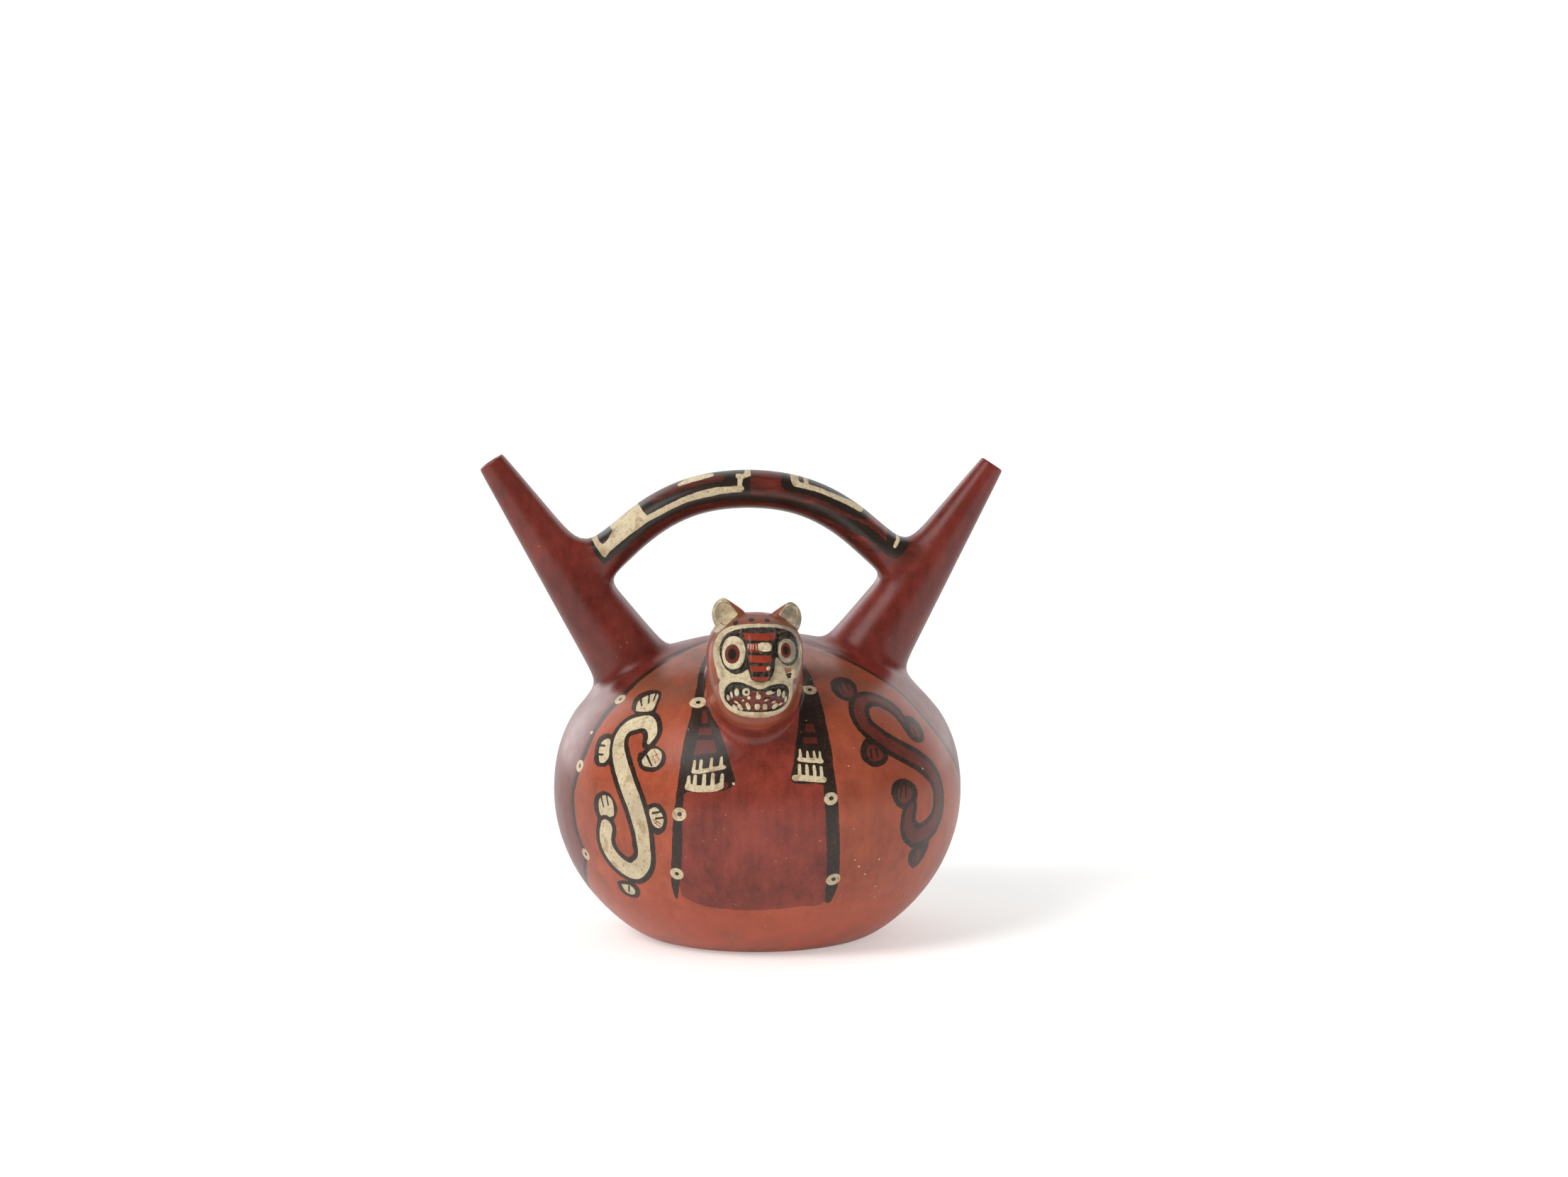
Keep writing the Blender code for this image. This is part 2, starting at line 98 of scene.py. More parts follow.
def start_edit(piece, kind="VERT"):
    """Edit mode on one piece, with nothing selected yet."""
    only(piece)
    bpy.ops.object.mode_set(mode="EDIT")
    bpy.ops.mesh.select_mode(type=kind)
    bpy.ops.mesh.select_all(action="DESELECT")
    return bmesh.from_edit_mesh(piece.data)


def end_edit():
    """Back to object mode."""
    bpy.ops.object.mode_set(mode="OBJECT")


def take_modifier(piece, name):
    """Applies one modifier for good."""
    only(piece)
    bpy.ops.object.modifier_apply(modifier=name)


def key(point):
    """A place as whole micrometres, to look points up by."""
    return tuple(int(round(v * 1e6)) for v in point)


def select_loop(piece, loop):
    """Edit mode with the open edges between a loop's places selected."""
    places = {key(place) for place in loop}
    mesh = start_edit(piece, "EDGE")
    for edge in mesh.edges:
        if len(edge.link_faces) == 1 and all(key(v.co) in places for v in edge.verts):
            edge.select = True
    mesh.select_flush(True)


def pull_out(piece, rings):
    """Extrudes the open edge that is the first ring, through all the others."""
    for loop, ring in zip(rings, rings[1:]):
        select_loop(piece, loop)
        bpy.ops.mesh.extrude_edges_move()
        target = {key(old): new for old, new in zip(loop, ring)}
        for vert in bmesh.from_edit_mesh(piece.data).verts:
            if vert.select:
                vert.co = target[key(vert.co)]
        bmesh.update_edit_mesh(piece.data)
        end_edit()


def close_end(piece, loop):
    """Fills an open loop and draws its face to one point."""
    select_loop(piece, loop)
    bpy.ops.mesh.edge_face_add()
    bpy.ops.mesh.poke()
    end_edit()


def open_block(piece, point_of, low_row, high_row, first, last):
    """Opens a block of a grid. Returns its edge: along the low row, up, back and down."""
    middles = []
    for i in range(low_row, high_row):
        for j in range(first, last):
            corners = [point_of(row, column) for row in (i, i + 1) for column in (j, j + 1)]
            middles.append(sum(corners, Vector()) / 4)
    mesh = start_edit(piece, "FACE")
    for face in mesh.faces:
        centre = face.calc_center_median()
        face.select = any((centre - middle).length < 1e-5 for middle in middles)
    bpy.ops.mesh.delete(type="FACE")
    end_edit()
    edge = [point_of(low_row, j) for j in range(first, last + 1)]
    edge += [point_of(i, last) for i in range(low_row + 1, high_row + 1)]
    edge += [point_of(high_row, j) for j in range(last - 1, first - 1, -1)]
    edge += [point_of(i, first) for i in range(high_row - 1, low_row, -1)]
    return edge


def fullness(sides):
    """A smoothed ring shrinks, so its cage is pushed out by this much."""
    return 6 / (4 + 2 * math.cos(2 * math.pi / sides))


print("a ring of 12 is pushed out by", round(fullness(12), 3))

# %% [markdown]
# The skin starts as a ball of twenty columns. Its rings are slid to the body's profile, so the
# first cage is already the body. A potter would raise the body first too, and open it where the
# spouts and the head are joined on.

# %% The body's cage
COLUMNS = 20
FOOT_RINGS = (0.45, 0.84, 0.995)
LOWER_RINGS = (0.11, 0.27, 0.46, 0.665, 0.87)
UPPER_RINGS = (0.072, 0.248, 0.4)
TOP_RINGS = (0.882, 0.766, 0.560, 0.250, 0.105)


def body_rings():
    """(radius, height) of the sixteen rings, foot first, pushed out for the smoothing."""
    heights = [WIDEST_HEIGHT * share for share in LOWER_RINGS]
    heights += [WIDEST_HEIGHT + UPPER_RISE * share for share in UPPER_RINGS]
    made = [(float(body_radius(0.0)) * share, 0.0) for share in FOOT_RINGS]
    made += [(float(body_radius(height)), height) for height in heights]
    made += [(BODY_RADIUS * share, float(upper_height(BODY_RADIUS * share))) for share in TOP_RINGS]
    pushed = list(made)
    for i in range(len(FOOT_RINGS), len(made) - 1):
        (r0, z0), (r1, z1), (r2, z2) = made[i - 1 : i + 2]
        pushed[i] = (r1 - (r0 - 2 * r1 + r2) / 6, z1 - (z0 - 2 * z1 + z2) / 6)
    return [(radius * fullness(COLUMNS), height) for radius, height in pushed]


rings = body_rings()
top = len(rings) - 1


def grid_point(ring, column):
    """A point of the body's cage."""
    radius, height = rings[ring]
    angle = math.pi / COLUMNS + 2 * math.pi * column / COLUMNS
    return Vector((radius * math.cos(angle), radius * math.sin(angle), height))


bpy.ops.mesh.primitive_uv_sphere_add(segments=COLUMNS, ring_count=top + 2, radius=1)
vessel = bpy.context.object
vessel.name = "painted_vessel"
for vert in vessel.data.vertices:
    x, y, z = vert.co
    step = round((top + 2) * math.acos(-z) / math.pi) - 1
    if 0 <= step <= top:
        vert.co = grid_point(step, round(math.atan2(y, x) / (2 * math.pi / COLUMNS)))
    else:
        vert.co = (0, 0, 0 if z < 0 else BODY_HEIGHT)
right_edge = open_block(vessel, grid_point, top - 4, top - 1, -2, 1)
left_edge = open_block(vessel, grid_point, top - 4, top - 1, 8, 11)
head_edge = open_block(vessel, grid_point, top - 5, top - 1, 13, 16)
print("body cage:", len(vessel.data.polygons), "faces")

# %% [markdown]
# Each spout is a straight cone that leans outwards. The real ones were rolled, set on the wet
# shoulder and smoothed over. Here the edge of the open patch is pulled out ring by ring: first a
# skirt that stays on the body, then the crease, then the cone, and last the rim and the bore.

# %% The spouts' cones
SPOUT_SIDES = 12
SPOUT_ANGLES = [math.radians(-45 + 30 * k) for k in range(SPOUT_SIDES)]
SPOUTS = {
    "right": {"out": 1, "foot": (0.0415, 0.1069), "mouth": (0.0898, 0.1794),
              "root": 0.0155, "tip": 0.00462, "bore": 0.0027},
    "left": {"out": -1, "foot": (0.0486, 0.1045), "mouth": (0.1006, 0.1814),
             "root": 0.0146, "tip": 0.0052, "bore": 0.0031},
}


def spout_frame(spout):
    """Foot, unit axis, length, upward normal and side direction."""
    out = spout["out"]
    foot = turned @ Vector((out * spout["foot"][0], 0, spout["foot"][1]))
    mouth = turned @ Vector((out * spout["mouth"][0], 0, spout["mouth"][1]))
    axis = (mouth - foot).normalized()
    side = turned @ Vector((0, out, 0))
    return foot, axis, (mouth - foot).length, side.cross(axis).normalized(), side


def spout_point(spout, share, angle, inset=1.0):
    """A point of the cone's cage: share 0 at the foot and 1 at the mouth."""
    foot, axis, length, normal, side = spout_frame(spout)
    radius = spout["root"] + (spout["tip"] - spout["root"]) * share
    radius *= fullness(SPOUT_SIDES) * inset
    away = normal * math.cos(angle) + side * math.sin(angle)
    return foot + axis * length * share + away * radius


def crease_share(spout, angle):
    """Share of the spout's length at which its cone comes out of the body, found by halving."""
    low_share, high_share = -0.45, 0.5
    for _ in range(30):
        middle = (low_share + high_share) / 2
        point = spout_point(spout, middle, angle)
        if point.z > upper_height(math.hypot(point.x, point.y)):
            high_share = middle
        else:
            low_share = middle
    return (low_share + high_share) / 2


for name, spout in SPOUTS.items():
    length = spout_frame(spout)[2]
    print(name, "spout:", round(1000 * length, 1), "mm long")

# %% [markdown]
# The skirt and the crease follow the line where the cone leaves the body. From there the rings
# stand at fixed shares of the spout's length, and the lowest ones slide up to clear the crease.

# %% The spouts' rings
FILLET = 0.0065
CREASE_SHARE = 0.12
SKIRT_LIFT = 0.0004
LOWEST_GAP = 0.06
SLIDE_REACH = 0.27
STATIONS = (0.17, 0.25, 0.33, 0.40, 0.47, 0.54, 0.68, 0.83, 0.97)


def rim_and_bore(bore):
    """(share, inset) of the rings over the rim and down into a bore of a relative width."""
    return ((0.995, 0.99), (1.0, 0.93), (1.0, bore * 1.12), (0.993, bore), (0.93, bore),
            (0.7, bore * 0.8))


def spout_cage(spout):
    """The rings of the spout from the skirt on the body to the bottom of the bore."""
    _, axis, length, normal, side = spout_frame(spout)
    creases = [crease_share(spout, angle) for angle in SPOUT_ANGLES]
    skirt, crease, first = [], [], []
    for share, angle in zip(creases, SPOUT_ANGLES):
        point = spout_point(spout, share, angle)
        away = normal * math.cos(angle) + side * math.sin(angle)
        away = Vector((away.x, away.y, 0)).normalized() * FILLET
        x, y = point.x + away.x, point.y + away.y
        skirt.append(Vector((x, y, upper_height(math.hypot(x, y)) + SKIRT_LIFT)))
        crease.append(point + away * CREASE_SHARE + axis * FILLET * CREASE_SHARE)
        first.append(spout_point(spout, share + FILLET / length, angle))
    cage = [skirt, crease, first]
    for station in STATIONS:
        pull = max(0.0, 1 - (station - STATIONS[0]) / SLIDE_REACH)
        ring = []
        for share, angle in zip(creases, SPOUT_ANGLES):
            lowest = max(share + FILLET / length + LOWEST_GAP, station)
            ring.append(spout_point(spout, station + (lowest - station) * pull, angle))
        cage.append(ring)
    for share, inset in rim_and_bore(spout["bore"] / spout["tip"]):
        cage.append([spout_point(spout, share, angle, inset) for angle in SPOUT_ANGLES])
    return cage


cages = {}
for name, edge in (("right", right_edge), ("left", left_edge)):
    cages[name] = [edge] + spout_cage(SPOUTS[name])
    pull_out(vessel, cages[name])
    close_end(vessel, cages[name][-1])
print("with both spouts:", len(vessel.data.polygons), "faces")

# %% [markdown]
# The bridge springs from the inner side of each spout. It is one strap of clay, wider than it is
# thick, so it is pulled from a patch on the right spout along an arch and welded to a patch of
# the same shape on the left one.

# %% The bridge handle
BRIDGE_TOP = (-0.004, 0.1706)
BRIDGE_RISE = 0.0275
BRIDGE_HALF_SPAN = 0.055
BRIDGE_FULLNESS = 2.4
BRIDGE_WIDTH = 0.019
BRIDGE_THICKNESS = 0.0145
BRIDGE_ENDS = (0.0485, -0.0560)
BRIDGE_RINGS = 10
PATCH_ROWS = (6, 9)


def bridge_axis(x):
    """Centre and unit normal of the arch at a distance along it."""
    share = abs(x - BRIDGE_TOP[0]) / BRIDGE_HALF_SPAN
    slope = BRIDGE_RISE * BRIDGE_FULLNESS * share ** (BRIDGE_FULLNESS - 1) / BRIDGE_HALF_SPAN
    slope *= math.copysign(1, x - BRIDGE_TOP[0])
    centre = Vector((x, 0, BRIDGE_TOP[1] - BRIDGE_RISE * share**BRIDGE_FULLNESS))
    return centre, Vector((slope, 0, 1)).normalized()


def bridge_ring(x):
    """Twelve points round the strap."""
    centre, normal = bridge_axis(x)
    ring = []
    for m in range(SPOUT_SIDES):
        angle = math.radians(45 - 30 * m)
        across = math.sin(angle) * BRIDGE_WIDTH / 2 * fullness(SPOUT_SIDES)
        up = -math.cos(angle) * BRIDGE_THICKNESS / 2 * fullness(SPOUT_SIDES)
        ring.append(turned @ (centre + normal * up + Vector((0, across, 0))))
    return ring


def spout_patch(name):
    """Opens three columns and three rows on the inner side of a spout."""
    point_of = lambda row, column: cages[name][row][column % SPOUT_SIDES]
    return open_block(vessel, point_of, *PATCH_ROWS, *PATCH_ROWS)


right_patch, left_patch = spout_patch("right"), spout_patch("left")
left_patch = [left_patch[(3 - m) % SPOUT_SIDES] for m in range(SPOUT_SIDES)]
arch = [bridge_ring(x) for x in np.linspace(*BRIDGE_ENDS, BRIDGE_RINGS)]
pull_out(vessel, [right_patch] + arch + [left_patch])
start_edit(vessel)
bpy.ops.mesh.select_all(action="SELECT")
bpy.ops.mesh.remove_doubles(threshold=1e-6)
end_edit()
print("with the bridge:", len(vessel.data.polygons), "faces")

# %% [markdown]
# The head grows out of the front shoulder in the same way, as a short thick neck that turns
# forwards. The sections are squarish rings that start on the shoulder and end as the flat face.
# Each row gives the lowest and the highest point of a section, in metres from the chin and from
# the crown, then its width, how square it is and how much it narrows upwards.

# %% The head's mass
HEAD_SIDES = 14
FACE_Y, CHIN, CROWN = -0.0785, 0.0885, 0.1305
HEAD_HALF_WIDTH = 0.0176
HEAD_SHIFT = -0.0009
NECK_ENDS = (0.0050, 0.0560)
NECK_WIDTH, NECK_SQUARE, NECK_REACH, NECK_LIFT = 1.12, 0.85, 0.929, 0.0003
HEAD_SECTIONS = (
    ((0.0073, -0.0035), (0.0485, -0.0155), 0.99, 0.85, 0.11),
    ((0.0050, -0.0012), (0.0385, -0.0070), 0.97, 0.82, 0.17),
    ((0.0027, 0.0), (0.0265, -0.0010), 0.975, 0.80, 0.19),
    ((0.0009, 0.0020), (0.0135, 0.0005), 0.97, 0.80, 0.18),
    ((-0.0006, 0.0055), (0.0050, -0.0030), 0.87, 0.82, 0.16),
    ((-0.0012, 0.0100), (0.0020, -0.0090), 0.62, 0.9, 0.06),
    ((-0.0014, 0.0155), (0.0005, -0.0155), 0.30, 1.0, 0.0),
)


def head_section(bottom, top_end, half_width, square=1.0, narrow=0.0):
    """Fourteen points of a section. The ends are (y, z) of its lowest and highest points."""
    lowest, highest = Vector((HEAD_SHIFT, *bottom)), Vector((HEAD_SHIFT, *top_end))
    centre = (lowest + highest) / 2
    half = (highest - lowest) / 2
    points = []
    for k in range(HEAD_SIDES):
        angle = 2 * math.pi * (k - 1.5) / HEAD_SIDES
        up, side = -math.cos(angle), math.sin(angle)
        up = math.copysign(abs(up) ** square, up)
        side = math.copysign(abs(side) ** square, side) * (1 + narrow * up)
        away = half * up + Vector((half_width * side, 0, 0))
        points.append(centre + away * fullness(HEAD_SIDES))
    return points


neck_front, neck_back = [(FACE_Y + end, 0) for end in NECK_ENDS]
neck = head_section(neck_front, neck_back, HEAD_HALF_WIDTH * NECK_WIDTH, NECK_SQUARE)
for point in neck:
    point *= min(1.0, BODY_RADIUS * NECK_REACH / math.hypot(point.x, point.y))
    point.z = upper_height(math.hypot(point.x, point.y)) + NECK_LIFT
head_cage = [head_edge, neck]
for bottom, top_end, width, square, narrow in HEAD_SECTIONS:
    low_end = (FACE_Y + bottom[0], CHIN + bottom[1])
    high_end = (FACE_Y + top_end[0], CROWN + top_end[1])
    head_cage.append(head_section(low_end, high_end, HEAD_HALF_WIDTH * width, square, narrow))
pull_out(vessel, head_cage)
close_end(vessel, head_cage[-1])
mesh = start_edit(vessel)
print("loose points:", sum(not v.link_faces for v in mesh.verts),
      "open edges:", sum(len(e.link_faces) != 2 for e in mesh.edges))
bpy.ops.mesh.select_all(action="SELECT")
bpy.ops.mesh.normals_make_consistent(inside=False)
end_edit()
print("whole cage:", len(vessel.data.polygons), "faces")

# %% [markdown]
# The cage is smoothed twice over: lightly, as the skin that is painted, and finely, as a
# reference that keeps the true smooth surface for later.

# %% Smoothing
SKIN_LEVELS, REFERENCE_LEVELS = 2, 5
reference = vessel.copy()
reference.data = vessel.data.copy()
reference.name = "smooth_reference"
bpy.context.scene.collection.objects.link(reference)
for piece, levels in ((vessel, SKIN_LEVELS), (reference, REFERENCE_LEVELS)):
    smooth = piece.modifiers.new("smooth", "SUBSURF")
    smooth.levels = levels
    take_modifier(piece, "smooth")
print("skin:", len(vessel.data.polygons), "faces; reference:", len(reference.data.polygons))

# %% [markdown]
# The slip painting covers the whole vessel: a maroon band over the top and the spouts, orange
# panels, black lines with eyed rings, two curling creatures and the face. A picture of it can't
# be used, so each colour is kept as a distance, in millimetres, from every point of the skin to
# the edge of that colour. The material turns the distance into paint later, and can then let the
# edge wander as a brush does.

# %% Distances to lines and areas
LAYERS = ("maroon", "panel", "black", "brown", "cream", "ink", "white", "red")
FAR = 4.0


def curve(points, steps=6):
    """A smooth curve through points, which may carry a width as their last number."""
    p = np.array(points, float)
    p = np.vstack([2 * p[0] - p[1], p, 2 * p[-1] - p[-2]])
    made = []
    for a, b, c, d in zip(p, p[1:], p[2:], p[3:]):
        for t in np.arange(steps) / steps:
            bend = t * (3 * (b - c) + d - a)
            made.append(b + 0.5 * t * (c - a + t * (2 * a - 5 * b + 4 * c - d + bend)))
    return np.array(made + [p[-2]])


def brush(flat, places, extra=0.0, steps=6):
    """A smooth flat stroke whose places carry its width, which may be made wider."""
    line = curve(places, steps)
    return stroke(flat, line[:, :2], line[:, 2] + extra)


def within(mask, value):
    """A distance that counts only where a mask is true."""
    return np.where(mask, value, -FAR)


def closed(outline, steps=3):
    """A smooth closed curve."""
    return curve(outline + outline[:1], steps)


def stroke(at, path, widths):
    """Brush stroke: half its width less the distance to its line, for every point."""
    path = np.asarray(path, float)
    widths = np.broadcast_to(np.asarray(widths, float) / 2, len(path))
    value = np.full(len(at), -FAR)
    margin = widths.max() + FAR
    near = np.flatnonzero(((at > path.min(0) - margin) & (at < path.max(0) + margin)).all(1))
    close = at[near]
    best = np.full(len(near), -FAR)
    for start, end, w0, w1 in zip(path, path[1:], widths, widths[1:]):
        along = end - start
        share = np.clip((close - start) @ along / max(along @ along, 1e-9), 0, 1)
        away = np.linalg.norm(close - start - share[:, None] * along, axis=1)
        best = np.maximum(best, w0 + (w1 - w0) * share - away)
    value[near] = best
    return np.clip(value, -FAR, FAR)


def inside(flat, outline):
    """True for each plane point inside a closed outline."""
    x, y = flat[:, 0], flat[:, 1]
    found = np.zeros(len(flat), bool)
    for (x0, y0), (x1, y1) in zip(outline, np.roll(outline, -1, axis=0)):
        if y0 != y1:
            found ^= ((y0 > y) != (y1 > y)) & (x < (x1 - x0) * (y - y0) / (y1 - y0) + x0)
    return found


def area(flat, outline):
    """Distance to the edge of a flat shape, positive inside."""
    outline = np.asarray(outline, float)
    edge = -stroke(flat, np.vstack([outline, outline[:1]]), 0.0)
    return np.where(inside(flat, outline), edge, -edge)


def oval(flat, centre, half_wide, half_tall, tilt=0.0, power=2.0):
    """Distance to the edge of an oval, positive inside."""
    a, b = (flat - np.asarray(centre, float)).T
    c, s = math.cos(math.radians(tilt)), math.sin(math.radians(tilt))
    u, v = np.abs(a * c + b * s) / half_wide, np.abs(b * c - a * s) / half_tall
    reach = (u**power + v**power) ** (1 / power)
    return np.clip((1 - reach) * min(half_wide, half_tall), -FAR, FAR)


trial = oval(np.array([(0.0, 0.0), (3.0, 0.0)]), (0, 0), 2, 2)
print("inside and outside a disk of 2 mm:", trial.tolist())

# %% [markdown]
# The painting is laid out by azimuth, in degrees, and height, in millimetres. A curved line is
# drawn on the wall unrolled from the top down, so that it may also cross the top, and a small
# shape is drawn flat round its own middle.

# %% Places on the body's wall
MM = 1000
FLAT_REACH = 32
OUT_OF_REACH = 99
profile_height = np.concatenate([np.linspace(0, 0.1150, 400), [BODY_HEIGHT]])
profile = np.stack([body_radius(profile_height), profile_height], 1) * MM
profile = np.vstack([profile, [0.0, MM * BODY_HEIGHT]])
profile_length = np.cumsum(np.linalg.norm(np.diff(profile, axis=0), axis=1))
profile_length = profile_length[-1] - np.concatenate([[0], profile_length])
profile_angle = np.arctan2(profile[:, 1] - MM * WIDEST_HEIGHT, profile[:, 0])


def wall(places):
    """Points on the wall, in mm, from (azimuth in degrees, height in mm)."""
    places = np.asarray(places, float)
    azimuth, height = np.radians(places[:, 0]), places[:, 1]
    radius = body_radius(height / MM) * MM
    return np.stack([radius * np.cos(azimuth), radius * np.sin(azimuth), height], 1)


def unrolled(at):
    """The wall laid flat as a disk: the top in the middle, the foot round the edge."""
    angle = np.arctan2(at[:, 2] - MM * WIDEST_HEIGHT, np.hypot(at[:, 0], at[:, 1]))
    length = np.interp(angle, profile_angle, profile_length)
    azimuth = np.arctan2(at[:, 1], at[:, 0])
    return np.stack([length * np.cos(azimuth), length * np.sin(azimuth)], 1)


def on_wall(at, centre):
    """Flat coordinates round a place of the wall: to the right and upwards, in mm."""
    azimuth, height = centre
    below, middle, above = wall([(azimuth, height - 0.5), centre, (azimuth, height + 0.5)])
    right = np.array([-math.sin(math.radians(azimuth)), math.cos(math.radians(azimuth)), 0])
    up = (above - below) / np.linalg.norm(above - below)
    flat = np.stack([(at - middle) @ right, (at - middle) @ up], 1)
    flat[np.linalg.norm(at - middle, axis=1) > FLAT_REACH] = OUT_OF_REACH
    return flat


def over_top(x, y):
    """Azimuth and height of a place of the top, from its plan in mm."""
    return math.degrees(math.atan2(y, x)), MM * float(upper_height(math.hypot(x, y) / MM))


def line_on_wall(places):
    """A smooth line over the wall, curved in the unrolled disk so that it may cross the top."""
    flat = curve(unrolled(wall(places)))
    azimuth = np.degrees(np.arctan2(flat[:, 1], flat[:, 0]))
    height = np.interp(-np.hypot(flat[:, 0], flat[:, 1]), -profile_length, profile[:, 1])
    return np.stack([azimuth, height], 1)


def brush_on_wall(at, places, extra=0.0):
    """A smooth stroke over the wall, from places that carry its width."""
    line = curve(places)
    return stroke(at, wall(line), line[:, 2] + extra)


def spot_on_wall(at, azimuth, height, wide, tall):
    """A small oval on the wall."""
    return oval(on_wall(at, (azimuth, height)), (0, 0), wide, tall)


def shape_on_wall(at, outline, steps=3):
    """Distance to the edge of a closed shape on the wall, smooth unless steps is 0."""
    middle = tuple(np.mean(outline, axis=0))
    edge = closed(outline, steps) if steps else outline
    return area(on_wall(at, middle), on_wall(wall(edge), middle))


print("wall length from the top to the foot:", round(float(profile_length[0]), 1), "mm")

# %% [markdown]
# The big areas come first. The maroon band's front edge follows the photograph, and the back is
# the same edge mirrored in the plane of the spouts, which stands 4.3 degrees off the width.
# Behind the head the edge can't be seen, so it simply runs across.

# %% The maroon band and the panels
SPOUT_PLANE = 4.3
FRONT_LINE = [
    (-163, 21), (-155, 29), (-149.3, 36.5), (-150.1, 40.8), (-151.3, 46.5), (-152.2, 57.9),
    (-151.3, 64.1), (-150.1, 70.2), (-148.9, 75.7), (-148.3, 83.4), (-147.6, 89.5), (-146.2, 94.6),
    (-146.8, 100.9), (-147.2, 105.4), (-149.6, 109.8), (-153.5, 112.8), over_top(-12, -5),
    over_top(0, -7), over_top(10, -8), (-33.0, 112.3), (-33.0, 109.0), (-31.2, 105.3),
    (-29.5, 101.4), (-27.0, 97.1), (-25.6, 92.3), (-24.2, 86.1), (-21.0, 79.0), (-16.6, 72.2),
    (-11.5, 65.5), (-6, 56), (-3, 46), (-1, 34), (1, 21),
]
FRONT_WIDTHS = ([0, 2, 6, 10, 14, 17, 20, 26, 32], [1.8, 2.0, 2.4, 3.1, 3.0, 2.0, 2.1, 2.0, 1.9])
LINE_FOOT = 21
FOOT_WIDTH = 1.9
PANEL = [
    (-113.4, 26.2), (-109, 23.3), (-104.3, 22), (-97, 21.3), (-90.5, 21.2), (-83, 21.7),
    (-76.9, 22.5), (-69.0, 24), (-69.6, 40), (-69.6, 60), (-70, 80), (-71, 96), (-80, 108),
    (-100, 108), (-110, 97), (-110.8, 80), (-111.4, 60), (-112.6, 40),
]


def mirrored(places):
    """The same places on the back of the vessel."""
    return [(2 * SPOUT_PLANE - place[0],) + tuple(place[1:]) for place in places]


BACK_PANEL = mirrored(PANEL[:12]) + [(84, 103), (96, 108), (112, 108), (118, 97)]
BACK_PANEL += mirrored(PANEL[15:])
front_line = line_on_wall(FRONT_LINE)
back_line = line_on_wall(mirrored(FRONT_LINE))
right_foot = [(azimuth, LINE_FOOT) for azimuth in range(2, 8, 2)]
left_foot = [(azimuth, LINE_FOOT) for azimuth in range(174, 197, 4)]
maroon = np.vstack([front_line, right_foot, back_line[::-1], left_foot])
print("points round the maroon band:", len(maroon))

# %% [markdown]
# Two wide black bands flank the front, with eyed rings on them, and a few small bare spots show
# where the slip has come off. The back repeats the bands and rings.

# %% Bands, rings and bare spots
LEFT_BAND = [
    (-126.5, 110.8, 0.8), (-120.5, 108.2, 1.8), (-114.4, 103.1, 3.2), (-112.4, 99.3, 3.6),
    (-111.3, 94.3, 3.4), (-110.8, 89.7, 3.2), (-110.6, 83.8, 3.0), (-110.8, 76.5, 2.9),
    (-111.1, 68.3, 3.0), (-111.5, 61.9, 3.1), (-111.9, 53.4, 3.9), (-112.4, 45.4, 4.1),
    (-113.2, 38.5, 4.0), (-114.7, 29.9, 3.0), (-115.5, 25.2, 1.0),
]
RIGHT_BAND = [
    (-66.0, 110.5, 1.4), (-66.9, 106.3, 3.2), (-69.2, 101.0, 5.4), (-70.4, 96.6, 5.6),
    (-70.4, 92.0, 5.0), (-70.3, 85, 4.6), (-70.1, 74, 4.8), (-69.7, 62, 5.2), (-69.2, 50, 5.2),
    (-68.4, 38, 5.1), (-67.7, 29.5, 4.6), (-67.8, 24.3, 2.6),
]
BANDS = (LEFT_BAND, RIGHT_BAND, mirrored(LEFT_BAND), mirrored(RIGHT_BAND))
RINGS = [
    (-111.7, 96.6, 3.1), (-111.4, 57.8, 2.8), (-113.5, 35.0, 2.7), (-68.9, 100.6, 2.7),
    (-69.8, 63.5, 2.6), (-67.7, 32.8, 2.8), (-146.1, 94.6, 2.6), (-150.2, 70.2, 2.6),
    (-149.1, 36.9, 2.6), (-149.7, 82.4, 0.9),
]
BACK_RINGS = mirrored(RINGS[:9])
EYED_SIZE, RING_FLATNESS = 2, 0.88
BARE_SPOTS = [
    (-63.7, 74.6, 0.35), (-36.6, 70.2, 0.45), (-63.2, 51.9, 0.35), (-53.6, 39.0, 0.5),
    (-60.1, 37.1, 0.5), (-57.5, 33.7, 0.5), (-61.8, 39.8, 0.4), (-52.1, 28.0, 0.4),
    (-50.5, 23.4, 0.4), (-74.0, 91.0, 0.35), (-59.3, 41.2, 0.3), (-57.0, 36.1, 0.28),
    (-60.9, 34.9, 0.25), (-49.4, 25.6, 0.3), (-53.0, 24.6, 0.26), (-66.1, 27.2, 0.3),
    (-64.0, 25.9, 0.26), (-51.2, 30.4, 0.26), (-95.0, 88.0, 0.3), (-88.5, 60.3, 0.28),
    (-101.3, 49.0, 0.26), (-82.0, 42.1, 0.28),
]


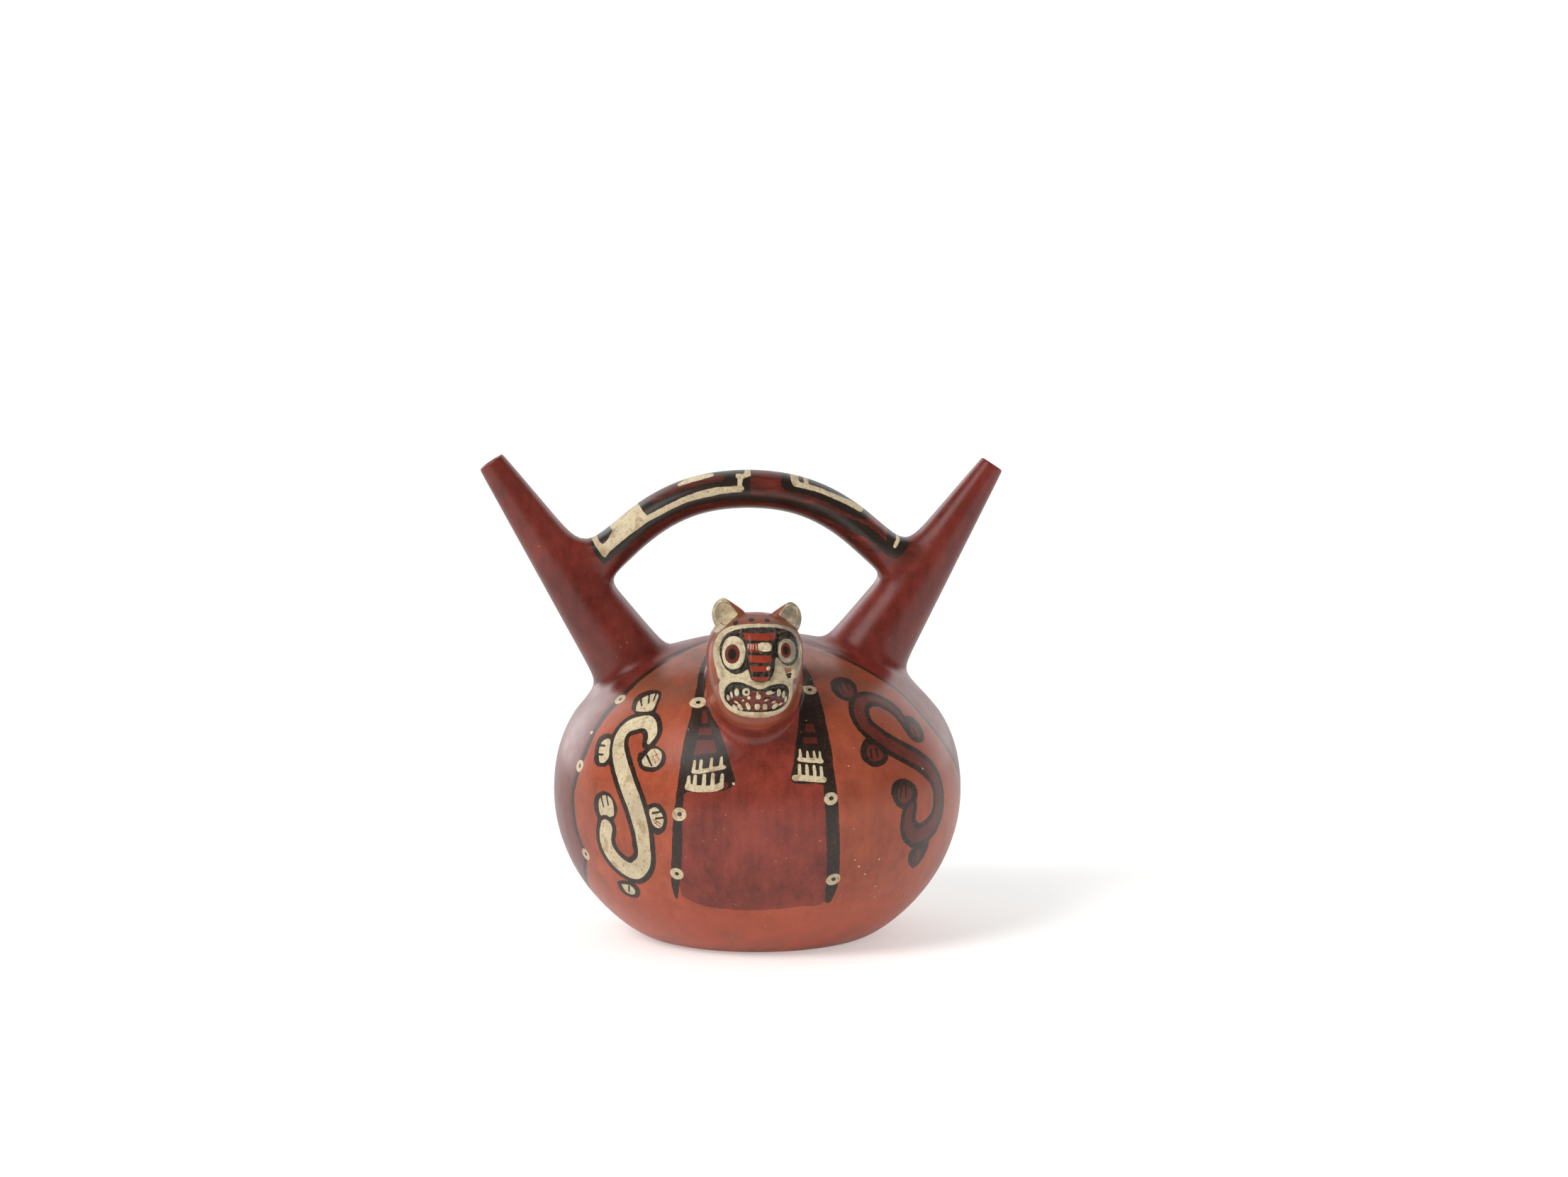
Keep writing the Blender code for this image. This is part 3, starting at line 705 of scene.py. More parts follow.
def paint_bands(at, put):
    """The maroon band, the panels and their black lines with eyed rings."""
    flat = unrolled(at)
    panels = [("panel", curve(outline, 4)) for outline in (PANEL, BACK_PANEL)]
    for name, outline in [("maroon", maroon)] + panels:
        edge = wall(np.vstack([outline, outline[:1]]))
        away = -stroke(at, edge, 0.0)
        put(name, np.where(inside(flat, unrolled(edge[:-1])), away, -away))
    for line in (front_line, back_line):
        put("black", stroke(at, wall(line), np.interp(np.arange(len(line)) / 6, *FRONT_WIDTHS)))
    for foot in (right_foot, left_foot):
        before, after = (foot[0][0] - 1, LINE_FOOT), (foot[-1][0] + 1, LINE_FOOT)
        put("black", stroke(at, wall([before] + foot + [after]), FOOT_WIDTH))
    for band in BANDS:
        put("black", brush_on_wall(at, band))
    for azimuth, height, size in RINGS + BACK_RINGS:
        flat = on_wall(at, (azimuth, height))
        put("cream", oval(flat, (0, 0), size, size * RING_FLATNESS, 12 * math.sin(height)))
        if size > EYED_SIZE:
            put("ink", oval(flat, (0.1, 0.1), 0.9, 0.8))
    for azimuth, height, size in BARE_SPOTS:
        put("white", spot_on_wall(at, azimuth, height, size, size * 0.8))


print("rings:", len(RINGS + BACK_RINGS), "bare spots:", len(BARE_SPOTS))

# %% [markdown]
# Beside the head two forelegs hang down, each with red squares and two rows of cream claws. A
# row is a curved base with its width, and the tips of its claws with theirs.

# %% The forelegs
LEFT_LEG = [
    (-112.4, 96.0), (-107.2, 95.2), (-104.6, 91.8), (-102.3, 89.0), (-100.5, 85.1), (-99.0, 81.5),
    (-98.0, 78.0), (-97.0, 74.0), (-96.0, 69.9), (-98.8, 67.2), (-104, 66.6), (-109.5, 66.0),
    (-111.4, 64), (-112.2, 78),
]
RIGHT_LEG = [
    (-74.6, 101), (-75.6, 94.5), (-76.8, 90.0), (-78.1, 85.3), (-79.1, 80.6), (-80.0, 75.7),
    (-80.8, 70.6), (-78.6, 69.4), (-74, 69.4), (-70.0, 68.6), (-68.2, 76), (-67.9, 86.8),
    (-66.9, 95.5), (-66.6, 101),
]
SQUARES = [
    [(-109.0, 94.0), (-107.6, 94.2), (-105.9, 90.1), (-108.2, 89.8)],
    [(-108.4, 88.5), (-104.7, 88.8), (-103.5, 86.2), (-108.4, 85.7)],
    [(-108.4, 84.2), (-102.9, 84.7), (-101.6, 80.1), (-108.5, 79.0)],
    [(-74.6, 89.9), (-71.9, 90.0), (-71.7, 86.8), (-75.4, 87.0)],
    [(-75.9, 85.5), (-71.8, 85.3), (-71.8, 82.9), (-76.5, 83.2)],
]
COMBS = [
    ([(-108.0, 73.4), (-106.1, 73.4), (-104.1, 74.0), (-101.6, 74.7), (-99.3, 75.3)], 1.5,
     [(-107.9, 77.0), (-106.0, 77.3), (-103.0, 78.1), (-100.2, 78.6)], 1.2),
    ([(-109.2, 67.9), (-106.9, 67.4), (-104.0, 67.5), (-101.4, 67.9), (-100.2, 68.6)], 2.4,
     [(-109.1, 71.3), (-107.3, 71.7), (-104.7, 72.2), (-102.3, 72.6), (-99.7, 72.6)], 1.5),
    ([(-78.0, 77.9), (-76.0, 77.5), (-74.0, 77.3), (-71.7, 76.9)], 1.7,
     [(-77.6, 81.1), (-75.5, 80.5), (-73.5, 80.4), (-71.8, 80.0)], 1.05),
    ([(-79.7, 71.5), (-77.5, 71.4), (-74.5, 70.9), (-71.6, 70.4)], 2.2,
     [(-78.2, 75.9), (-76.1, 75.8), (-74.0, 75.3), (-72.0, 74.8)], 1.25),
]


def paint_legs(at, put):
    """Forelegs: dark, with red squares and combs of claws."""
    for outline in (LEFT_LEG, RIGHT_LEG):
        put("black", shape_on_wall(at, outline))
    for outline in SQUARES:
        put("brown", shape_on_wall(at, outline, 0) - 0.1)
    for base, thick, tips, wide in COMBS:
        put("cream", stroke(at, wall(curve(base)), thick))
        for tip in tips:
            foot = np.interp(tip[0], *zip(*sorted(base)))
            tooth = wall([(tip[0] - 0.1, foot), (tip[0], (foot + tip[1]) / 2), tip])
            put("cream", stroke(at, tooth, [wide * 1.1, wide, wide * 0.85]))
    put("brown", spot_on_wall(at, -99.0, 68.9, 1.4, 1.3))
    put("cream", spot_on_wall(at, -96.5, 69.6, 0.5, 0.6))


print("claws:", sum(len(tips) for base, thick, tips, wide in COMBS))

# %% [markdown]
# In the orange panels two creatures curl like an S. The left one is cream and the right one dark
# red, both with a thick black outline. A body is one brush stroke whose width changes along it.

# %% The creatures' bodies
OUTLINE_WIDTH = 4.3
SOLE_GAP = 0.5
FINGER_GAPS = {"ink": [0.95, 0.75], "red": 0.38}
PALE_CREATURE = [
    (-123.7, 82.2, 1.6), (-123.4, 85.1, 3.6), (-125.1, 87.8, 4.6), (-127.6, 88.9, 5.4),
    (-130.7, 88.2, 5.6), (-133.7, 86.7, 5.4), (-135.2, 83.8, 5.2), (-134.7, 79.7, 5.6),
    (-132.5, 74.9, 6.3), (-130.0, 70.2, 6.6), (-127.7, 65.3, 6.8), (-125.6, 60.4, 6.8),
    (-124.1, 55.4, 6.6), (-123.1, 50.2, 6.2), (-122.9, 44.9, 5.8), (-123.1, 40.8, 5.6),
    (-124.5, 37.2, 6.2), (-128.0, 34.2, 6.8), (-131.7, 35.2, 6.8), (-135.0, 38.5, 6.6),
    (-136.8, 42.7, 6.4), (-136.7, 46.8, 6.4), (-136.0, 49.6, 6.4),
]
DARK_CREATURE = [
    (-37.5, 87.4, 1.0), (-37.8, 90.1, 2.0), (-38.9, 92.2, 2.6), (-41.0, 94.1, 3.0),
    (-44.2, 95.8, 3.2), (-48.4, 96.0, 3.6), (-52.1, 94.6, 4.2), (-54.3, 91.5, 4.6),
    (-54.1, 87.6, 4.6), (-51.3, 83.9, 4.6), (-47.5, 80.3, 4.4), (-42.8, 76.9, 4.4),
    (-37.5, 73.2, 4.4), (-33.3, 69.1, 4.2), (-30.6, 64.6, 4.0), (-29.6, 59.5, 4.4),
    (-29.7, 54.8, 4.8), (-31.2, 50.4, 5.2), (-34.6, 47.1, 5.6), (-39.1, 45.6, 5.4),
    (-42.7, 47.5, 5.0), (-44.2, 51.2, 4.4), (-44.0, 54.8, 3.6), (-43.1, 57.4, 2.4),
]


def paint_creature(at, put, body, paws, colour):
    """A curling creature: outline, body and paws with fingers."""
    outline = brush_on_wall(at, body, OUTLINE_WIDTH)
    put("black", outline)
    put(colour, brush_on_wall(at, body))
    for pad, sole, gaps in paws:
        put("black", shape_on_wall(at, pad))
        put(colour, np.minimum(shape_on_wall(at, sole), SOLE_GAP - outline))
        for name, start, end in gaps:
            put(name, stroke(at, wall([start, end]), FINGER_GAPS[name]))


for name, body in (("pale", PALE_CREATURE), ("dark", DARK_CREATURE)):
    steps = np.diff(wall(curve(body)), axis=0)
    print(name, "creature:", round(float(np.linalg.norm(steps, axis=1).sum())), "mm long")

# %% [markdown]
# The paws lie along the bodies. Each is a dark pad, a paler sole on it, and short dark or red
# strokes that part the fingers.

# %% The creatures' paws
PALE_PAWS = [
    ([(-136.7, 92.3), (-138.8, 94.8), (-138.8, 96.8), (-136.2, 98.5), (-132.3, 99.1),
      (-128.8, 98.5), (-127.1, 96.6), (-126.4, 94.2), (-126.0, 92.3), (-127.8, 90.8),
      (-132.1, 90.4)],
     [(-134.3, 91.9), (-135.6, 93.7), (-136.0, 95.4), (-134.1, 97.1), (-131.0, 98.1),
      (-129.2, 97.7), (-128.0, 95.8), (-127.4, 93.2), (-128.8, 92.3), (-132.5, 91.9)],
     [("ink", (-136.2, 96.0), (-133.2, 93.8)), ("ink", (-133.6, 97.6), (-131.0, 94.9)),
      ("ink", (-130.8, 98.4), (-129.6, 95.8))]),
    ([(-126.2, 75.7), (-126.3, 77.9), (-125.1, 78.9), (-123.4, 80.6), (-121.1, 81.3),
      (-118.5, 80.3), (-116.9, 78.0), (-116.9, 75.2), (-118.8, 73.0), (-121.6, 72.0),
      (-124.5, 73.0)],
     [(-124.6, 75.9), (-123.4, 78.3), (-122.2, 80.0), (-119.9, 80.2), (-118.3, 78.5),
      (-118.5, 75.8), (-119.7, 74.1), (-121.9, 73.9), (-123.8, 74.4)],
     [("ink", (-123.3, 77.9), (-121.0, 74.4)), ("red", (-122.3, 79.2), (-119.7, 75.2)),
      ("red", (-121.2, 79.9), (-118.8, 76.4)), ("red", (-121.8, 77.2), (-119.6, 78.6))]),
    ([(-143.5, 73.6), (-144.5, 77.6), (-144.7, 81.3), (-142.1, 83.1), (-138.5, 82.8),
      (-136.3, 78.2), (-136.7, 72.9), (-139.7, 71.6), (-142.1, 72.1)],
     [(-141.1, 73.8), (-142.4, 77.2), (-142.2, 80.3), (-139.7, 81.7), (-138.0, 79.8),
      (-137.3, 75.4), (-138.7, 73.3), (-140.4, 73.0)],
     [("ink", (-142.8, 78.9), (-140.3, 79.0)), ("ink", (-142.3, 75.7), (-140.0, 75.9))]),
    ([(-141.1, 57.4), (-140.4, 60.8), (-138.2, 62.8), (-135.3, 63.0), (-133.1, 61.3),
      (-131.5, 58.3), (-131.8, 55.0), (-134.1, 51.9), (-138.2, 51.6), (-140.2, 54.2)],
     [(-138.7, 55.8), (-138.9, 59.1), (-137.5, 61.3), (-135.2, 61.7), (-133.3, 60.0),
      (-132.7, 56.8), (-133.0, 54.6), (-136.6, 53.3), (-138.0, 53.9)],
     [("ink", (-137.9, 61.0), (-136.8, 57.5)), ("ink", (-135.7, 61.9), (-134.9, 58.4))]),
    ([(-121.9, 59.3), (-119.9, 61.1), (-117.4, 61.1), (-115.8, 59.1), (-114.9, 55.8),
      (-115.5, 52.1), (-117.1, 49.9), (-118.7, 49.7), (-120.2, 51.3), (-121.3, 55.1)],
     [(-120.5, 58.6), (-118.6, 59.7), (-116.7, 57.7), (-116.1, 55.0), (-116.7, 52.6),
      (-118.0, 52.2), (-119.5, 53.6), (-120.3, 56.2)],
     [("ink", (-119.3, 57.4), (-116.6, 58.4)), ("ink", (-118.4, 55.6), (-116.0, 56.2)),
      ("red", (-119.0, 54.1), (-117.0, 52.6)), ("red", (-119.2, 55.2), (-116.8, 53.6))]),
    ([(-137.1, 28.4), (-133.6, 29.7), (-129.5, 29.0), (-128.3, 26.3), (-130.4, 23.3),
      (-133.9, 22.7), (-136.6, 23.6), (-137.5, 25.7)],
     [(-135.4, 27.8), (-131.5, 27.9), (-130.5, 25.6), (-132.2, 24.1), (-135.0, 24.8)],
     [("ink", (-132.3, 27.4), (-133.4, 25.2))]),
]
DARK_PAWS = [
    ([(-58.6, 102.1), (-55.3, 103.2), (-51.1, 103.5), (-47.5, 102.7), (-47.0, 100.6),
      (-49.9, 98.2), (-53.7, 96.3), (-56.8, 96.1), (-59.2, 97.4), (-60.0, 99.6)],
     [(-55.0, 101.4), (-51.2, 101.7), (-50.1, 99.9), (-52.0, 97.8), (-54.8, 97.1), (-57.0, 98.0),
      (-57.0, 99.8)],
     [("ink", (-54.7, 101.1), (-55.9, 98.6)), ("ink", (-51.5, 101.5), (-52.4, 99.3))]),
    ([(-59.1, 79.3), (-58.0, 81.6), (-55.8, 83.7), (-53.6, 84.8), (-51.4, 81.8), (-49.6, 76.6),
      (-51.5, 74.3), (-55.0, 73.3), (-57.8, 74.9), (-59.0, 76.9)],
     [(-56.8, 79.6), (-54.9, 81.3), (-53.2, 80.6), (-51.2, 77.5), (-52.6, 75.8), (-55.2, 75.4),
      (-56.8, 77.2)],
     [("ink", (-55.4, 79.5), (-55.6, 76.7)), ("ink", (-53.2, 79.6), (-53.5, 76.8))]),
    ([(-37.3, 89.1), (-32.7, 88.5), (-30.1, 86.3), (-30.1, 82.4), (-31.7, 79.8), (-34.8, 79.2),
      (-37.7, 80.7), (-39.1, 83.7), (-39.3, 86.3)],
     [(-35.0, 86.3), (-32.9, 85.7), (-32.4, 82.8), (-33.4, 80.9), (-35.5, 81.7), (-36.2, 84.2)],
     [("ink", (-34.9, 85.3), (-34.2, 82.4))]),
    ([(-50.7, 63.1), (-50.2, 65.9), (-48.3, 67.8), (-45.4, 68.0), (-42.1, 66.2), (-40.3, 63.1),
      (-40.6, 60.2), (-42.8, 57.6), (-46.5, 56.8), (-49.3, 59.3)],
     [(-48.2, 64.0), (-46.4, 65.5), (-43.6, 64.5), (-42.5, 61.8), (-44.0, 59.6), (-46.4, 59.2),
      (-48.1, 61.1)],
     [("ink", (-46.6, 65.1), (-47.4, 61.3)), ("ink", (-44.9, 64.9), (-45.2, 60.9))]),
    ([(-41.5, 36.1), (-42.0, 39.6), (-39.9, 41.4), (-35.9, 41.9), (-33.1, 42.5), (-33.1, 38.0),
      (-35.1, 34.2), (-38.2, 32.8)],
     [(-39.2, 35.6), (-39.6, 38.5), (-37.1, 39.9), (-35.8, 38.3), (-37.0, 34.9)],
     [("ink", (-39.0, 38.6), (-38.0, 35.4))]),
]
print("paws:", len(PALE_PAWS), "pale and", len(DARK_PAWS), "dark")

# %% [markdown]
# The bridge carries a stepped pattern on its upper half, cut off below by a black line. It is
# drawn as it is seen from the front, along the arch and up it, and the back repeats it.

# %% The bridge's pattern
LOW_BAND = [
    (-63.9, 152.6), (-62.8, 149.0), (-61.6, 146.7), (-59.9, 144.4), (-58.5, 142.6), (-55.9, 144.9),
    (-49.2, 150.2), (-42.0, 156.0), (-35.8, 159.5), (-28.6, 163.2), (-20.2, 165.5), (-13.5, 166.4),
    (-2.3, 166.2), (6.2, 165.7), (15.2, 163.1), (19.7, 161.7), (24.2, 160.1), (30.8, 157.4),
    (37.5, 154.2), (41.9, 151.4), (44.6, 149.4), (47.8, 146.0), (49.0, 150.0), (45.6, 153.9),
    (42.0, 156.2), (37.5, 158.6), (30.7, 161.0), (24.0, 163.9), (19.5, 165.2), (15.1, 166.3),
    (6.1, 167.7), (1.7, 168.4), (-2.8, 168.7), (-8.0, 170.5), (-20.0, 169.0), (-29.0, 166.2),
    (-38.5, 162.0), (-46.0, 156.6), (-53.6, 151.0), (-58.0, 147.4), (-60.6, 150.8), (-62.4, 153.6),
]
CREAM_STEP = [
    (-63.0, 152.2), (-63.9, 154.4), (-61.8, 155.0), (-60.2, 151.7), (-59.0, 150.4), (-57.4, 151.6),
    (-56.2, 153.6), (-54.9, 155.4), (-55.8, 156.4), (-55.2, 160.6), (-51.0, 164.2), (-46.8, 167.8),
    (-45.2, 165.2), (-43.7, 162.9), (-42.2, 161.3), (-40.2, 162.3), (-34.9, 165.2), (-29.1, 167.9),
    (-22.4, 170.4), (-15.7, 171.8), (-9.5, 172.2), (-8.1, 172.3), (-8.0, 174.0), (-7.9, 175.0),
    (-8.6, 175.1), (-8.4, 176.4), (-7.3, 176.6), (-5.6, 176.3), (-5.0, 176.9), (-4.8, 180.0),
    (-2.8, 180.0), (-2.8, 175.8), (-4.4, 175.4), (-5.9, 175.0), (-6.2, 173.6), (-6.4, 172.4),
    (-5.5, 171.7), (-5.7, 170.8), (-6.8, 169.9), (-9.1, 169.9), (-13.5, 169.4), (-20.2, 168.0),
    (-26.9, 166.4), (-32.2, 164.0), (-38.5, 160.8), (-41.5, 159.2), (-43.8, 157.6), (-49.2, 153.7),
    (-53.6, 150.1), (-56.5, 147.6), (-57.8, 145.6), (-58.5, 145.8), (-59.6, 146.9), (-61.1, 149.2),
]
NOTCH = [(-62.2, 155.2), (-60.1, 151.7)] + CREAM_STEP[4:9] + [(-55.0, 160.8), (-59.5, 159.0)]
BLACK_STEP = [(-46.9, 168.6)] + CREAM_STEP[12:20] + [
    (-8.1, 172.3), (-8.0, 175.0), (-6.2, 174.9), (-5.9, 171.0), (-4.5, 166.4), (-2.2, 166.5),
    (-3.4, 171.0), (-3.0, 175.3), (-1.9, 177.2), (-1.9, 181.0), (-17.0, 181.0), (-28.0, 179.0),
    (-40.0, 174.0),
]
RED_STEP = [
    (-42.0, 166.5), (-40.6, 168.6), (-36.4, 170.9), (-29.7, 173.6), (-22.1, 175.4), (-15.0, 176.4),
    (-12.8, 176.0), (-13.4, 173.9), (-17.9, 173.5), (-22.3, 172.6), (-28.6, 170.6), (-34.8, 168.2),
    (-39.3, 166.1),
]
COMB_GROUND = [
    (9.4, 179.0), (8.4, 172.2), (10.4, 169.9), (15.0, 169.3), (19.5, 168.3), (24.0, 166.6),
    (28.5, 164.4), (35.2, 160.7), (40.4, 158.9), (43.4, 161.5), (41.6, 165.5), (38.4, 168.5),
    (29.8, 173.0), (20.6, 177.0), (15.5, 179.0),
]
COMB = [
    (13.9, 178.5, 3.0), (13.9, 173.9, 3.0), (15.4, 172.5, 2.1), (19.6, 171.4, 1.8),
    (24.1, 169.9, 1.7), (28.6, 167.9, 1.7), (33.2, 165.9, 1.8), (36.3, 164.4, 2.0),
    (38.8, 163.0, 2.2), (39.6, 164.4, 2.2), (40.4, 166.4, 1.8),
]
END_BLOCK = [
    (49.4, 155.8), (52.6, 157.0), (57.4, 154.2), (57.3, 149.0), (54.9, 146.4), (52.2, 144.0),
    (50.0, 144.8), (47.4, 146.2), (48.4, 150.8),
]
INK_TOUCH = [(15.6, 175.3), (17.3, 175.0), (17.1, 173.2), (15.5, 173.4)]
DARK_SHAPES = (LOW_BAND, NOTCH, BLACK_STEP, COMB_GROUND, END_BLOCK)
BRIDGE_STROKES = (
    ("white", [(-30.0, 172.4), (-26.3, 173.9), (-21.9, 175.1), (-17.0, 176.1)],
     [0.8, 1.5, 1.5, 0.8]),
    ("cream", [(18.3, 176.0), (18.2, 173.0), (18.0, 171.8)], 1.7),
    ("cream", [(53.6, 153.4), (52.9, 150.9), (51.7, 148.8)], [1.5, 1.4, 1.3]),
)


def paint_bridge(at, put):
    """The stepped pattern, read along the arch and upwards."""
    flat = (at @ np.array(turned))[:, [0, 2]]
    for outline in DARK_SHAPES:
        put("black", area(flat, outline))
    put("brown", area(flat, RED_STEP))
    put("cream", area(flat, CREAM_STEP))
    put("ink", area(flat, INK_TOUCH))
    put("cream", brush(flat, COMB, steps=3))
    for name, path, widths in BRIDGE_STROKES:
        put(name, stroke(flat, path, widths))
    put("ink", oval(flat, (27.2, 157.1), 1.0, 0.5, -15))


print("bridge: dark shapes", len(DARK_SHAPES), "strokes", len(BRIDGE_STROKES))

# %% [markdown]
# The face is painted and modelled at once, so one set of outlines serves both. They are laid out
# as seen from the front, in millimetres across and up: the brow arc, the lips, the mouth and the
# dark ground round the eyes.

# %% The face's outlines
BROW_ARC = [
    (-13.5, 109.0, 1.6), (-14.2, 112.1, 1.6), (-14.7, 114.5, 1.8), (-14.9, 117.2, 1.9),
    (-14.5, 120.3, 1.9), (-12.9, 123.4, 1.8), (-10.5, 125.2, 1.7), (-7.6, 126.2, 1.4),
    (-4.4, 126.7, 1.1), (-1.5, 126.9, 1.0), (1.9, 126.9, 1.0), (5.1, 126.8, 1.0),
    (8.2, 126.3, 1.0), (10.7, 125.6, 1.0), (12.8, 124.3, 1.0), (14.3, 122.4, 1.0),
    (15.2, 120.2, 1.1), (15.6, 118.0, 1.2), (15.6, 115.1, 1.4), (14.9, 112.3, 1.6),
    (13.5, 109.0, 1.8),
]
LIP_EDGE = [
    (-13.9, 104.5), (-13.7, 106.6), (-12.8, 108.3), (-11.0, 109.5), (-8.7, 110.2), (-6.1, 110.6),
    (-4.2, 111.1), (-2.8, 109.5), (-1.5, 107.9), (1.5, 107.1), (4.2, 107.8), (6.1, 109.3),
    (7.8, 110.1), (10.0, 109.4), (11.4, 108.1), (12.4, 106.4), (12.7, 104.0), (12.4, 101.4),
    (11.4, 99.0), (10.0, 97.3), (7.4, 95.7), (4.2, 94.8), (0.2, 94.5), (-3.6, 94.8), (-7.0, 95.6),
    (-9.5, 96.8), (-11.6, 98.6), (-12.8, 100.8), (-13.5, 102.7),
]
MOUTH_EDGE = [
    (-11.9, 102.5), (-11.8, 104.2), (-11.0, 105.9), (-9.5, 107.1), (-7.4, 107.5), (-4.9, 107.1),
    (-2.8, 106.3), (-0.8, 105.4), (0.8, 105.0), (2.5, 105.3), (4.2, 106.1), (6.6, 106.7),
    (9.1, 106.7), (10.7, 105.9), (11.4, 104.2), (11.3, 102.1), (10.5, 99.8), (8.8, 98.1),
    (6.2, 97.1), (2.3, 96.7), (-1.9, 96.7), (-5.3, 97.0), (-8.2, 97.9), (-10.3, 99.5),
    (-11.6, 101.1),
]
EYE_GROUND = [
    (-13.7, 117.2), (-13.5, 119.8), (-12.7, 122.3), (-11.0, 124.1), (-8.3, 125.3), (-5.3, 126.0),
    (-1.9, 126.3), (2.3, 126.4), (6.6, 126.2), (10.0, 125.5), (12.4, 124.2), (14.0, 122.3),
    (14.7, 119.8), (14.9, 117.2), (14.4, 114.9), (13.5, 113.5), (12.1, 112.6), (10.4, 112.8),
    (8.9, 113.7), (7.8, 115.3), (6.8, 116.1), (6.4, 113.9), (6.1, 111.5), (5.5, 109.5),
    (4.4, 108.0), (1.9, 107.3), (-0.2, 107.5), (-1.9, 108.3), (-2.8, 109.9), (-3.3, 111.9),
    (-3.9, 111.6), (-5.3, 110.5), (-7.4, 109.9), (-9.5, 110.3), (-11.4, 111.7), (-12.7, 113.7),
]
FACE_EDGE = [place[:2] for place in BROW_ARC] + [(12.9, 107.0)] + LIP_EDGE[15:] + LIP_EDGE[:2]
FACE_EDGE += [(-13.4, 107.0)]
wide, tall = np.ptp(FACE_EDGE, axis=0)
print("face:", round(float(wide), 1), "x", round(float(tall), 1), "mm")

# %% [markdown]
# Inside the outlines lie the eyes with their irises, the ribbed nose, and the teeth in the open
# mouth. An oval is given by its middle, its half sizes and its tilt in degrees, and an iris by
# its pupil's half sizes too.

# %% Eyes, nose and teeth
EYES = [(-8.5, 117.5, 4.2, 5.8, -2), (10.6, 118.0, 3.1, 4.2, 6)]
IRISES = [(-9.0, 117.1, 2.75, 3.5, -4, 1.5, 2.0), (10.3, 118.3, 1.9, 2.8, 4, 1.0, 1.6)]
NOSE_BARS = [
    [(-5.1, 124.6), (6.6, 124.5), (6.4, 122.1), (-4.5, 122.2)],
    [(-3.9, 121.2), (5.1, 121.2), (5.3, 118.4), (-3.4, 118.4)],
    [(-3.2, 117.2), (5.2, 116.9), (5.2, 114.3), (-2.8, 114.7)],
    [(-2.6, 113.4), (4.7, 113.3), (4.6, 111.3), (-2.4, 111.5)],
    [(-2.1, 109.7), (4.3, 109.7), (4.0, 108.3), (1.4, 107.4), (-1.3, 108.3)],
]
# The pale patch on the nose is partly pale paint and partly a painted highlight.
NOSE_PATCH_AND_HIGHLIGHT = [
    (0.2, 121.0), (1.9, 121.5), (4.4, 121.4), (5.2, 120.3), (5.0, 118.5), (2.3, 118.3),
    (0.4, 118.9),
]
NOSE_HAIRS = [
    [(-3.2, 120.9), (-3.3, 119.4)],
    [(-2.3, 120.9), (-2.3, 119.2)],
    [(-1.4, 120.9), (-1.5, 119.3)],
    [(-0.5, 120.7), (-0.2, 119.1)],
]
TEETH = [
    (-10.5, 101.7, 0.47, 1.02, 12), (-9.3, 102.7, 0.47, 1.1, 10), (-7.4, 103.6, 0.85, 1.36, 0),
    (-4.0, 103.8, 1.36, 1.36, 0), (0.4, 102.1, 0.85, 0.93, 0), (0.1, 103.3, 0.34, 0.76, -10),
    (4.7, 103.6, 1.7, 0.76, 12), (7.8, 103.4, 0.72, 1.36, 0), (9.5, 102.7, 0.51, 1.19, -8),
    (10.2, 101.0, 0.38, 0.93, -10), (-3.0, 101.7, 0.59, 0.59, 0), (-5.1, 100.7, 0.42, 0.38, 0),
    (3.2, 100.8, 0.76, 0.34, 25), (5.9, 100.1, 0.93, 0.34, 22), (-7.6, 100.0, 0.85, 0.38, -25),
    (-8.0, 98.3, 0.51, 1.15, 50), (-6.1, 98.3, 0.62, 1.25, 38), (-3.3, 98.7, 0.74, 1.3, 28),
    (0.0, 98.5, 1.0, 1.05, 0), (2.8, 98.5, 0.85, 0.98, -5), (6.4, 98.7, 0.66, 1.2, -48),
    (8.3, 99.3, 0.38, 0.76, -60),
]
TOOTH_HOLES = [(-3.9, 103.8, 0.66, 0.6, 0), (5.9, 104.2, 0.7, 0.42, 15)]
GUMS = [
    (-10.2, 100.6), (-8.7, 102.2), (-5.3, 101.9), (-2.3, 103.6), (-0.2, 104.2), (2.3, 103.8),
    (4.9, 102.1), (7.8, 101.4), (10.1, 101.0), (9.2, 99.3), (6.1, 98.1), (2.3, 97.4), (-1.9, 97.4),
    (-5.3, 97.9), (-8.3, 99.0),
]
RED_TOUCH = [(9.6, 112.0), (12.2, 112.0), (12.4, 110.7), (10.2, 110.1)]
CHEEK_TOUCH = [(10.3, 109.9), (12.4, 110.3), (12.1, 108.2), (10.9, 108.3)]
TOOTH_POWER, EYE_POWER = 2.4, 2.2


